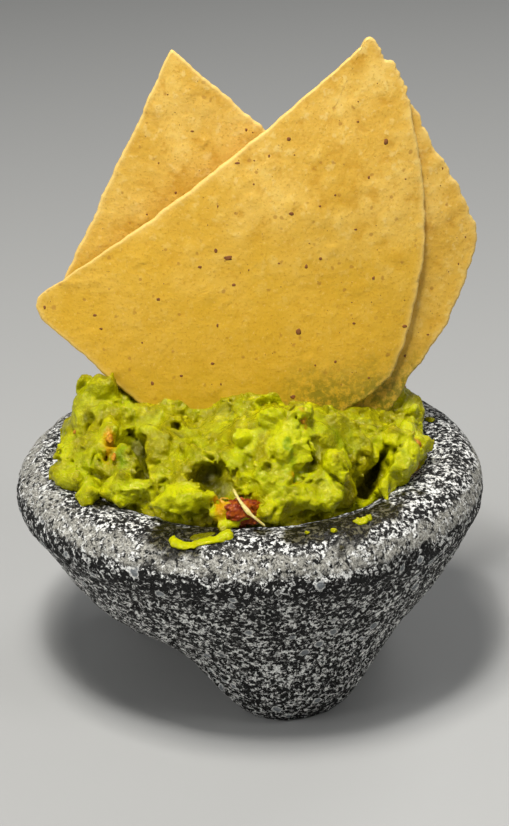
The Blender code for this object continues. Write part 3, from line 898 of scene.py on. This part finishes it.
# Bits of chilli pressed in the mash: x, y, half length, half width.
RED_BITS = (
    (-34.6, -17.0, 1.5, 0.8), (-33.4, -21.8, 1.1, 0.6), (12.5, -27.6, 1.0, 0.6), (10.8, -37.3, 0.9, 0.5),
    (41.8, -15.6, 1.2, 0.7), (-44.0, -8.0, 0.8, 0.4), (30.0, 26.0, 1.6, 0.8), (-12.0, 38.0, 1.5, 0.8),
    (40.0, 16.0, 1.2, 0.7), (-36.0, 20.0, 1.2, 0.6), (8.0, 36.0, 1.3, 0.7), (22.0, 36.0, 0.8, 0.5),
)


def build_chilli_bits(finish):
    """Small bits pressed in the mash: flattened balls, dented by noise, on the heap's slope."""
    bits = np.array(RED_BITS)
    rng = np.random.default_rng(21)
    centres, normals = on_heap(bits[:, :2] * MM)
    axes = frames_on(normals, rng.uniform(0, math.pi, len(bits)))
    halves = np.stack([bits[:, 2], bits[:, 3], 0.8 * bits[:, 3]], axis=1) * MM
    shells = shaped_balls(centres + normals * 0.2 * MM, axes, halves, (14, 22), 21)
    add_shells("chilli_bits", shells, 14, 22, finish, "tomato")


def build_onion_strand(finish):
    """A pale strand of onion that leaves the mash over the tomato and bends down to the rim."""
    rows = np.array((
        (-3.8, -42.0, 66.6, 0.32, 0.28), (-2.4, -44.4, 65.0, 0.36, 0.30), (-0.4, -46.2, 62.8, 0.70, 0.50),
        (0.8, -46.8, 61.8, 0.44, 0.32), (3.8, -47.4, 59.4, 0.36, 0.28),
    ))
    add_loft("onion_strand", rope(rows * MM, 16, 14), finish, "mash")


# ---- Chips ------------------------------------------------------------------------------------


def chip_outline(corners, seed):
    """A closed clockwise outline: sides bowed by their bulge, resampled at even steps, its corners
    rounded by averaging along it, and each side made ragged by noise. In metres."""
    dense, ragged = [], []
    for (ax, ay, bulge, rough), (bx, by, _, _) in zip(corners, corners[1:] + corners[:1]):
        length = math.hypot(bx - ax, by - ay)
        t = np.linspace(0.0, 1.0, 200, endpoint=False)
        bow = 4.0 * bulge * t * (1.0 - t)
        dense.append(np.stack([ax + (bx - ax) * t + (ay - by) / length * bow,
                               ay + (by - ay) * t + (bx - ax) / length * bow], axis=1))
        ragged.append(np.full(200, rough))
    dense, ragged = np.concatenate(dense) * MM, np.concatenate(ragged) * MM
    step = np.linalg.norm(np.roll(dense, -1, axis=0) - dense, axis=1)
    run = np.concatenate([[0.0], step.cumsum()])
    even = np.linspace(0.0, run[-1], CHIP_SIDES, endpoint=False)
    closed = np.concatenate([dense, dense[:1]])
    points = np.stack([np.interp(even, run, closed[:, k]) for k in (0, 1)], axis=1)
    rough = np.interp(even, run, np.append(ragged, ragged[0]))
    for _ in range(2):
        points = (points + np.roll(points, 1, axis=0) + np.roll(points, -1, axis=0)) / 3.0
        rough = (rough + np.roll(rough, 3) + np.roll(rough, -3)) / 3.0
    along = np.roll(points, -1, axis=0) - np.roll(points, 1, axis=0)
    outward = np.stack([-along[:, 1], along[:, 0]], axis=1) / np.hypot(along[:, 0], along[:, 1])[:, None]
    spots = np.stack([points[:, 0], points[:, 1], np.full(CHIP_SIDES, seed * 10 * MM)], axis=1)
    wander = layered_noise(spots, 5 * MM, seed, layers=4, keep=0.6)
    return points + outward * (rough * wander)[:, None]


def chip_surface(chip, a, b, side, thin):
    """Points of a chip's face at (a, b) across and up: the bent sheet, its slow waves, and half its
    thickness to the front (side -1) or back (side 1) with blisters, all scaled by `thin`."""
    seed = chip["seed"]
    bend_at, bend_depth = (value * MM for value in chip["bend"])
    flat = np.stack([a, b, np.full_like(a, seed * 30 * MM)], axis=-1)
    slope = 2.0 * bend_depth * (a - bend_at) / (50.0 * MM) ** 2
    length = np.hypot(slope, 1.0)
    waves = 0.5 * MM * soft_noise(flat, 24 * MM, seed + 200)
    waves = waves + 0.12 * MM * soft_noise(flat, 9 * MM, seed + 201)
    face = flat + np.array((0.0, 0.0, side * 50 * MM))
    crooked = stirred(face, 1.0 * MM, 3 * MM, seed + 202)
    away, tag = pebbles(crooked, 5.2 * MM, seed + 210)
    blisters = 0.22 * MM * fade(-away, -0.6, 0.0) * fade(tag, 0.45, 1.0)
    grain = 0.035 * MM * layered_noise(face, 1.6 * MM, seed + 220, layers=2)
    out = waves + side * thin * (CHIP_THICKNESS / 2 + blisters + grain - 0.08 * MM)
    back = bend_depth * ((a - bend_at) / (50.0 * MM)) ** 2
    local = np.stack([a - slope / length * out, back + out / length, b], axis=-1)
    return np.array(chip["base"]) * MM + local @ turning(-chip["lean"], "X").T


def build_chip(name, chip, finish):
    """A chip: from the middle of its front face out to the edge, round it, and back in behind."""
    outline = chip_outline(chip["outline"], chip["seed"])
    centre = outline.mean(axis=0)
    reach = np.linalg.norm(outline - centre, axis=1)
    rounding = np.sin(np.linspace(math.pi / 2, 0.0, CHIP_EDGE_RINGS))
    on_face = np.ones(CHIP_FACE_RINGS)
    share = np.linspace(CHIP_HEART, 1.0, CHIP_FACE_RINGS, endpoint=False)
    share = np.append(share, np.ones(CHIP_EDGE_RINGS))[:, None]
    inset = CHIP_ROUNDING * np.append(on_face, rounding)[:, None]
    thin = np.append(on_face, np.sqrt(1.0 - (1.0 - rounding) ** 2))[:, None]
    scale = share * (reach - inset) / reach
    spots = centre + (outline - centre) * scale[..., None]
    front, back = (chip_surface(chip, spots[..., 0], spots[..., 1], side, thin) for side in (-1.0, 1.0))
    loops = np.concatenate([front, back[-2::-1]])
    # Nearness to the edge, which the finish paints lighter as light shows through and catches the thin
    # edge.
    edge = np.exp(-((reach - reach * scale) / CHIP_RIM_WIDTH) ** 2)
    edge = np.concatenate([edge, edge[-2::-1]])
    add_loft(chip["piece"], loops, finish, "corn_chip", name, edge=edge, fried=chip["fried"])


# Burnt specks of the front chip that stand out: across, up, half size, in millimetres.
FRONT_SPECKS = (
    (9.6, 62.5, 0.45), (33.5, 61.5, 0.6), (-2.9, 56.6, 0.45), (10.3, 44.0, 0.5), (-5.3, 33.0, 0.8),
    (-8.3, 34.8, 0.45), (17.7, 32.6, 0.4), (14.1, 30.7, 0.45), (-3.9, 26.1, 0.4), (-12.3, 30.6, 0.4),
    (-22.7, 22.3, 0.45), (12.3, 14.2, 0.7), (-9.3, 6.0, 0.4), (-24.6, 0.5, 0.45), (11.0, -2.6, 0.6),
    (39.0, 14.8, 0.5), (-39.0, 17.6, 0.4), (-52.0, 19.0, 0.4), (-37.5, 14.2, 0.35), (31.0, 27.4, 0.4),
)
# The others: how many, half sizes from SPECK_LEAST up by SPECK_MORE, and how far they lift off the
# chip and how thick half of one is, in millimetres.
SPECKS_PER_FACE = 84
SPECK_LEAST = 0.10
SPECK_MORE = 0.26
SPECK_LIFT = 0.03
SPECK_RISE = 0.05


def build_specks(finish):
    """Toasted specks on both faces of every chip: small flat discs lying in the surface."""
    rng = np.random.default_rng(17)
    shells = []
    disc = ball_directions(4, 9)
    for name, chip in CHIPS.items():
        outline = chip_outline(chip["outline"], chip["seed"])
        centre = outline.mean(axis=0)
        for side in (-1.0, 1.0):
            toward = outline[rng.integers(0, CHIP_SIDES, SPECKS_PER_FACE)] - centre
            places = centre + toward * np.sqrt(rng.random((SPECKS_PER_FACE, 1))) * 0.97
            sizes = SPECK_LEAST + SPECK_MORE * rng.random(SPECKS_PER_FACE) ** 4
            if name == "chip_front" and side < 0:
                named = np.array(FRONT_SPECKS)
                places = np.concatenate([places, named[:, :2] * MM])
                sizes = np.append(sizes, named[:, 2])
            stretch = rng.uniform(0.7, 1.3, (len(sizes), 1))
            wide = disc[:, 0] * sizes[:, None] * stretch
            high = disc[:, 1] * sizes[:, None] / stretch
            jag = (1.0 + 0.3 * rng.uniform(-1, 1, wide.shape)) * MM
            on_face = chip_surface(chip, places[:, :1] + wide * jag, places[:, 1:] + high * jag, side, 1.0)
            outward = turning(-chip["lean"], "X")[:, 1] * side
            shells.append(on_face + outward * (SPECK_LIFT + SPECK_RISE * disc[:, 2:]) * MM)
    add_shells("chip_specks", np.concatenate(shells), 4, 9, finish, "corn_chip")


# ---- Finishes ---------------------------------------------------------------------------------


class Number:
    """A socket that carries a number. Python's operators on it add Math nodes."""

    def __init__(self, socket):
        self.socket = socket

    def math(self, operation, first, second):
        """A Math node on two numbers, either of which may be plain."""
        node = self.socket.id_data.nodes.new("ShaderNodeMath")
        node.operation = operation
        join(node.inputs[0], first)
        join(node.inputs[1], second)
        return Number(node.outputs[0])

    def __add__(self, other):
        return self.math("ADD", self, other)

    def __sub__(self, other):
        return self.math("SUBTRACT", self, other)

    def __rsub__(self, other):
        return self.math("SUBTRACT", other, self)

    def __mul__(self, other):
        return self.math("MULTIPLY", self, other)

    __radd__ = __add__
    __rmul__ = __mul__


def join(socket, value):
    """Link a Number or a socket to a node's input, or set the input to a plain value."""
    if isinstance(value, Number):
        value = value.socket
    if isinstance(value, bpy.types.NodeSocket):
        socket.id_data.links.new(value, socket)
    elif isinstance(value, tuple) and len(value) == 3 and socket.type == "RGBA":
        socket.default_value = (*value, 1.0)
    else:
        socket.default_value = value


class Finish:
    """A Principled material, with the object's own coordinates as the place of every pattern."""

    def __init__(self, name, **fixed):
        self.material = bpy.data.materials.new(name)
        self.material.use_nodes = True
        self.tree = self.material.node_tree
        self.shader = self.tree.nodes["Principled BSDF"]
        self.place = self.node("ShaderNodeTexCoord").outputs["Object"]
        self.set(**fixed)

    def set(self, **inputs):
        """Set or link the shader's inputs, named with _ for each space."""
        for name, value in inputs.items():
            join(self.shader.inputs[name.replace("_", " ")], value)

    def node(self, kind, settings=None, sockets=None):
        """Any node: its settings first, then the values or links of its sockets."""
        made = self.tree.nodes.new(kind)
        for name, value in (settings or {}).items():
            setattr(made, name, value)
        for name, value in (sockets or {}).items():
            join(made.inputs[name], value)
        return made

    def mark(self, name):
        """One of the piece's own numbers."""
        return Number(self.node("ShaderNodeAttribute", {"attribute_name": name}).outputs["Fac"])

    def noise_outputs(self, size, detail=2.0, roughness=0.5, place=None):
        """The outputs of noise with features of this size."""
        sockets = {"Vector": place or self.place, "Scale": 1.0 / size}
        sockets |= {"Detail": detail, "Roughness": roughness}
        return self.node("ShaderNodeTexNoise", sockets=sockets).outputs

    def noise(self, *shape):
        """Noise from 0 to 1: its size, then detail, roughness and place."""
        return Number(self.noise_outputs(*shape)["Fac"])

    def vector(self, operation, sockets):
        """The result of a Vector Math node."""
        return self.node("ShaderNodeVectorMath", {"operation": operation}, sockets).outputs[0]

    def crooked(self, size, reach):
        """The place pushed about by coloured noise of this size, by up to half the reach."""
        centred = self.vector("SUBTRACT", {0: self.noise_outputs(size)["Color"], 1: (0.5, 0.5, 0.5)})
        push = self.vector("SCALE", {0: centred, "Scale": reach})
        return self.vector("ADD", {0: self.place, 1: push})

    def grains(self, size, place):
        """Cells of this size: the distance from each cell's centre, and the cell's random number."""
        cells = self.node("ShaderNodeTexVoronoi", sockets={"Vector": place, "Scale": 1.0 / size})
        tag = self.node("ShaderNodeSeparateColor", sockets={"Color": cells.outputs["Color"]}).outputs[0]
        return Number(cells.outputs["Distance"]), Number(tag)

    def step(self, value, low, high, first=0.0, last=1.0):
        """A number that goes smoothly from first to last while the value goes from low to high."""
        sockets = {"Value": value, "From Min": low, "From Max": high, "To Min": first, "To Max": last}
        made = self.node("ShaderNodeMapRange", {"interpolation_type": "SMOOTHSTEP"}, sockets)
        return Number(made.outputs["Result"])

    def mix(self, share, first, second):
        """A colour between two colours."""
        return self.node("ShaderNodeMix", {"data_type": "RGBA"}, {0: share, 6: first, 7: second}).outputs[2]

    def layered(self, colour, *layers):
        """A colour with others laid over it in turn, each given as its share and colour."""
        for share, over in layers:
            colour = self.mix(share, colour, over)
        return colour

    def bump(self, height, depth, normal=None):
        """A normal from a height from 0 to 1 that stands for this depth in metres."""
        sockets = {"Height": height, "Distance": depth}
        if normal:
            sockets["Normal"] = normal
        return self.node("ShaderNodeBump", sockets=sockets).outputs["Normal"]


def stone_finish():
    """Dark basalt full of pale grains in three sizes: dense and worn on top of the rim, then a
    beige band round the lip, a dark band of painted shade under it, and more and more grains towards the
    feet."""
    stone = Finish("speckled_stone", Specular_IOR_Level=0.25)
    high = Number(stone.node("ShaderNodeSeparateXYZ", sockets={0: stone.place}).outputs["Z"])
    wet = stone.mark("wet")
    crooked = stone.crooked(1.1 * MM, 1.3 * MM)
    patches = stone.noise(5.0 * MM, 3.0)
    uneven = high + patches * 5.0 * MM
    rim = stone.step(uneven, 53.6 * MM, 55.4 * MM)
    worn = rim * stone.step(uneven, 59.4 * MM, 58.0 * MM)
    # Painted shade under the lip: fewer pale grains in this band, though more of the big ringed grains.
    shade = stone.step(uneven, 54.0 * MM, 51.0 * MM) * stone.step(uneven, 38.0 * MM, 50.0 * MM)
    grit = stone.noise(0.36 * MM, 2.0, 0.6)
    mottle = stone.noise(1.05 * MM, 4.0, 0.70, crooked)
    coarse = stone.noise(2.0 * MM, 3.0, 0.7, crooked)
    amount = patches * 0.20 + rim * 0.012 - shade * 0.035 - 0.10
    grey = stone.step(mottle + amount, 0.502, 0.528)
    white = stone.step(mottle + coarse * 0.35 + amount, 0.712, 0.736)
    mid_away, mid_tag = stone.grains(1.7 * MM, crooked)
    big_away, big_tag = stone.grains(3.4 * MM, crooked)
    mid = stone.step(mid_tag, 0.90, 0.92) * stone.step(mid_away, 0.46, 0.36)
    big = stone.step(big_tag + shade * 0.06, 0.86, 0.88) * stone.step(big_away, 0.42, 0.36) * (1.0 - rim)
    dark = stone.mix(stone.step(grit, 0.42, 0.72), (0.001, 0.001, 0.001), (0.022, 0.021, 0.019))
    dull = stone.mix(stone.step(grit, 0.32, 0.66), (0.035, 0.035, 0.032), (0.30, 0.295, 0.28))
    bright = stone.mix(stone.step(grit, 0.3, 0.6), (0.45, 0.45, 0.43), (1.0, 1.0, 0.96))
    beige = stone.mix(stone.step(grit, 0.32, 0.62), (0.16, 0.155, 0.13), (0.58, 0.56, 0.49))
    torn = stone.step(stone.noise(1.5 * MM, 4.0, 0.65), 0.42, 0.52)
    colour = stone.layered(
        dark,
        (grey, dull),
        (white, bright),
        (mid * 0.8, stone.mix(stone.step(mid_away, 0.2, 0.36), dull, bright)),
        (big * 0.9, stone.mix(stone.step(big_away, 0.24, 0.36), (0.22, 0.24, 0.25), bright)),
        (worn * torn * 0.85, beige),
        (wet * 0.96, stone.mix(white, (0.006, 0.005, 0.002), (0.07, 0.06, 0.02))),
    )
    normal = stone.bump(grey * 0.5 + grit * 0.4 + white * 0.3, 0.42 * MM)
    normal = stone.bump(coarse, 0.7 * MM, normal)
    stone.set(Base_Color=colour, Normal=normal, Roughness=0.75 - wet * 0.55)
    return stone.material


def mash_finish():
    """Wet avocado: olive to lime by slow patches with yellow and green streaks, yellower on pale
    lumps, with painted shade in creases and hollows, and with orange tints from chilli and green ones from
    herbs."""
    mash = Finish("avocado_mash", Specular_IOR_Level=0.38, Subsurface_Weight=0.12, Subsurface_Scale=1.0,
                  Subsurface_Radius=(1.2 * MM, 1.1 * MM, 0.1 * MM), Specular_Tint=(1.0, 0.94, 0.55))
    crease, pale, warm, green = (mash.mark(name) for name in ("crease", "pale", "warm", "green"))
    patches = mash.noise(8.0 * MM, 3.0)
    streaks = mash.noise(2.4 * MM, 4.0, 0.6, mash.crooked(4.0 * MM, 4.0 * MM))
    specks = mash.noise(0.7 * MM, 2.0)
    base = mash.step(patches + pale * 0.25, 0.36, 0.78)
    colour = mash.layered(
        mash.mix(base, (0.27, 0.235, 0.0005), (0.42, 0.45, 0.001)),
        (mash.step(streaks, 0.50, 0.72) * 0.65, (0.64, 0.58, 0.002)),
        (mash.step(streaks, 0.46, 0.30) * 0.6, (0.21, 0.21, 0.001)),
        (mash.step(specks, 0.60, 0.74) * 0.4, (0.74, 0.68, 0.02)),
        (pale * 0.45, (0.64, 0.62, 0.002)),
        # Painted shade: dark olive in creases and hollows.
        (crease * 0.85, (0.085, 0.075, 0.001)),
        (mash.step(warm * (streaks + specks), 0.25, 1.1) * 0.85, (0.58, 0.24, 0.002)),
        (mash.step(green * (streaks + specks), 0.2, 1.1) * 0.75, (0.13, 0.25, 0.002)),
    )
    normal = mash.bump(mash.noise(1.0 * MM, 3.0, 0.6), 0.60 * MM)
    mash.set(Base_Color=colour, Normal=normal, Roughness=mash.step(patches, 0.32, 0.60, 0.20, 0.08))
    return mash.material


def plain_wet_finish(name, deep, light, size, roughness):
    """A wet piece of one colour that varies between a deep and a light one."""
    made = Finish(name, Subsurface_Weight=0.08, Subsurface_Radius=(1.2 * MM, 0.4 * MM, 0.1 * MM),
                  Specular_IOR_Level=0.3)
    spots = made.noise(size, 3.0, 0.6)
    normal = made.bump(made.noise(size * 0.5), 0.25 * MM)
    made.set(Base_Color=made.mix(made.step(spots, 0.35, 0.65), deep, light), Normal=normal,
             Roughness=spots * 0.3 + roughness)
    return made.material


def chip_finish():
    """Fried corn: golden patches and pale dots, deeper gold further down and by each chip's painted shade
    shift, brown grain and flecks, edges painted lighter for the light through and on the thin edge, and a
    stain low down, green at the right, where the mash has touched it."""
    chip = Finish("fried_corn", IOR=1.42, Subsurface_Weight=0.08,
                  Subsurface_Radius=(1.5 * MM, 0.9 * MM, 0.3 * MM))
    edge, fried = chip.mark("edge"), chip.mark("fried")
    axes = chip.node("ShaderNodeSeparateXYZ", sockets={0: chip.place})
    across, high = Number(axes.outputs["X"]), Number(axes.outputs["Z"])
    patches = chip.noise(14.0 * MM, 3.0)
    clouds = chip.noise(5.0 * MM, 3.0, 0.6)
    dots = chip.noise(2.2 * MM, 2.0)
    grain = chip.noise(0.7 * MM, 3.0, 0.65)
    away, tag = chip.grains(1.6 * MM, chip.crooked(1.5 * MM, 1.0 * MM))
    # Deeper gold further down, plus painted shade: each chip's shift darkens it, or lightens it where
    # negative, for the light it gets.
    deep = chip.step(high + patches * 30.0 * MM, 160.0 * MM, 100.0 * MM) * 0.8 + fried
    low = chip.step(high + clouds * 12.0 * MM, 92.0 * MM, 76.0 * MM)
    smear = low * chip.step(across, 2.0 * MM, 20.0 * MM)
    gritty = chip.step(chip.noise(1.5 * MM, 4.0, 0.7), 0.38, 0.58)
    colour = chip.layered(
        chip.mix(chip.step(patches, 0.36, 0.64), (0.74, 0.43, 0.055), (0.84, 0.53, 0.10)),
        (chip.step(clouds, 0.52, 0.72) * 0.6, (0.92, 0.64, 0.17)),
        (chip.step(dots, 0.58, 0.70) * 0.35, (0.96, 0.74, 0.28)),
        (chip.step(clouds, 0.48, 0.30) * 0.7, (0.60, 0.30, 0.018)),
        (deep, (0.66, 0.38, 0.012)),
        (chip.step(grain, 0.54, 0.70) * 0.50, (0.46, 0.22, 0.012)),
        (chip.step(grain, 0.40, 0.28) * 0.30, (0.90, 0.66, 0.24)),
        (chip.step(tag, 0.93, 0.96) * chip.step(away, 0.42, 0.2) * 0.55, (0.36, 0.15, 0.02)),
        # Painted light: a lighter band along the thin edge.
        (edge * 0.6, (0.88, 0.64, 0.22)),
        (low * 0.5, (0.50, 0.33, 0.01)),
        (smear * gritty * 0.9, (0.20, 0.18, 0.010)),
    )
    normal = chip.bump(clouds + dots * 0.4, 0.30 * MM)
    normal = chip.bump(grain, 0.09 * MM, normal)
    roughness = chip.step(clouds, 0.3, 0.7, 0.60, 0.42) - low * 0.15
    chip.set(Base_Color=colour, Normal=normal, Roughness=roughness)
    return chip.material


def speck_finish():
    """Toasted brown specks."""
    speck = Finish("toasted_speck", Roughness=0.7)
    shade = speck.noise(0.8 * MM)
    speck.set(Base_Color=speck.mix(shade, (0.10, 0.025, 0.004), (0.36, 0.13, 0.02)))
    return speck.material


# ---- Stage ------------------------------------------------------------------------------------

FLOOR_REACH = 4.0
CAMERA_PLACE = (0.00126, -0.4795, 0.27935)
CAMERA_PITCH_DOWN = 23.814
LENS = 89.35
SENSOR_WIDTH = 36.0

# Square lights: name, place, the point each faces, size, power and colour.
LIGHTS = (
    ("overhead", (-0.12, -0.20, 0.90), (0.0, 0.0, 0.06), 0.24, 7.2, (1.0, 0.98, 0.94)),
    ("sparkle", (-0.10, -0.26, 0.80), (0.0, -0.02, 0.06), 0.07, 1.5, (1.0, 1.0, 1.0)),
    ("left", (-0.9, -0.55, 0.55), (0.0, 0.0, 0.08), 0.5, 3.8, (1.0, 1.0, 1.0)),
    ("right", (0.75, -0.45, 0.75), (0.0, 0.0, 0.08), 0.3, 1.9, (1.0, 1.0, 1.0)),
    ("behind", (0.5, 0.7, 0.8), (0.0, 0.0, 0.06), 0.5, 2.6, (1.0, 1.0, 1.0)),
)


def add_floor():
    """A wide pale floor."""
    mesh = bpy.data.meshes.new("floor")
    corners = [(x * FLOOR_REACH, y * FLOOR_REACH, 0.0) for x, y in ((-1, -1), (1, -1), (1, 1), (-1, 1))]
    mesh.from_pydata(corners, [], [(0, 1, 2, 3)])
    floor = bpy.data.objects.new("floor", mesh)
    bpy.context.scene.collection.objects.link(floor)
    pale = Finish("pale_floor", Base_Color=(0.42, 0.42, 0.41), Roughness=0.6)
    mesh.materials.append(pale.material)


def add_light(name, place, aim, size, power, colour):
    """A square soft light that faces a point."""
    light = bpy.data.lights.new(name, "AREA")
    light.size, light.energy, light.color = size, power, colour
    lamp = bpy.data.objects.new(name, light)
    lamp.location = place
    lamp.rotation_euler = (Vector(aim) - Vector(place)).to_track_quat("-Z", "Y").to_euler()
    bpy.context.scene.collection.objects.link(lamp)


def add_camera():
    """The camera: a little over the rim's height, looking down at the front of the bowl."""
    data = bpy.data.cameras.new("camera")
    data.lens, data.sensor_width = LENS, SENSOR_WIDTH
    data.clip_start, data.clip_end = 0.01, 20.0
    camera = bpy.data.objects.new("camera", data)
    camera.location = CAMERA_PLACE
    camera.rotation_euler = (math.radians(90.0 - CAMERA_PITCH_DOWN), 0.0, 0.0)
    bpy.context.scene.collection.objects.link(camera)
    bpy.context.scene.camera = camera


def add_world():
    """Even pale light from all round, and colours shown without a film look."""
    world = bpy.data.worlds.new("studio")
    world.use_nodes = True
    background = world.node_tree.nodes["Background"]
    background.inputs["Color"].default_value = (0.92, 0.96, 1.0, 1.0)
    background.inputs["Strength"].default_value = 0.10
    bpy.context.scene.world = world
    bpy.context.scene.view_settings.view_transform = "Standard"


def main():
    """Build every piece, then the stage."""
    build_bowl(stone_finish())
    mash = mash_finish()
    build_mash("mash_front", mash, FRONT_STEP, FRONT_BOX, True, "guacamole")
    build_mash("mash_back", mash, BACK_STEP, BACK_BOX, False, None)
    add_smear("rim_smear", SMEAR_PATH, 0.0, mash)
    add_smear("rim_film", SMEAR_FILM, 1.0, mash)
    build_rim_drips(mash)
    red = plain_wet_finish("red_tomato", (0.15, 0.008, 0.001), (0.42, 0.09, 0.002), 2.2 * MM, 0.22)
    build_tomato(red)
    chilli = plain_wet_finish("orange_chilli", (0.40, 0.13, 0.002), (0.58, 0.28, 0.002), 1.0 * MM, 0.35)
    build_chilli_bits(chilli)
    onion = plain_wet_finish("pale_onion", (0.62, 0.50, 0.12), (0.80, 0.68, 0.28), 1.2 * MM, 0.3)
    build_onion_strand(onion)
    corn = chip_finish()
    for name, chip in CHIPS.items():
        build_chip(name, chip, corn)
    build_specks(speck_finish())
    add_floor()
    for light in LIGHTS:
        add_light(*light)
    add_camera()
    add_world()


main()
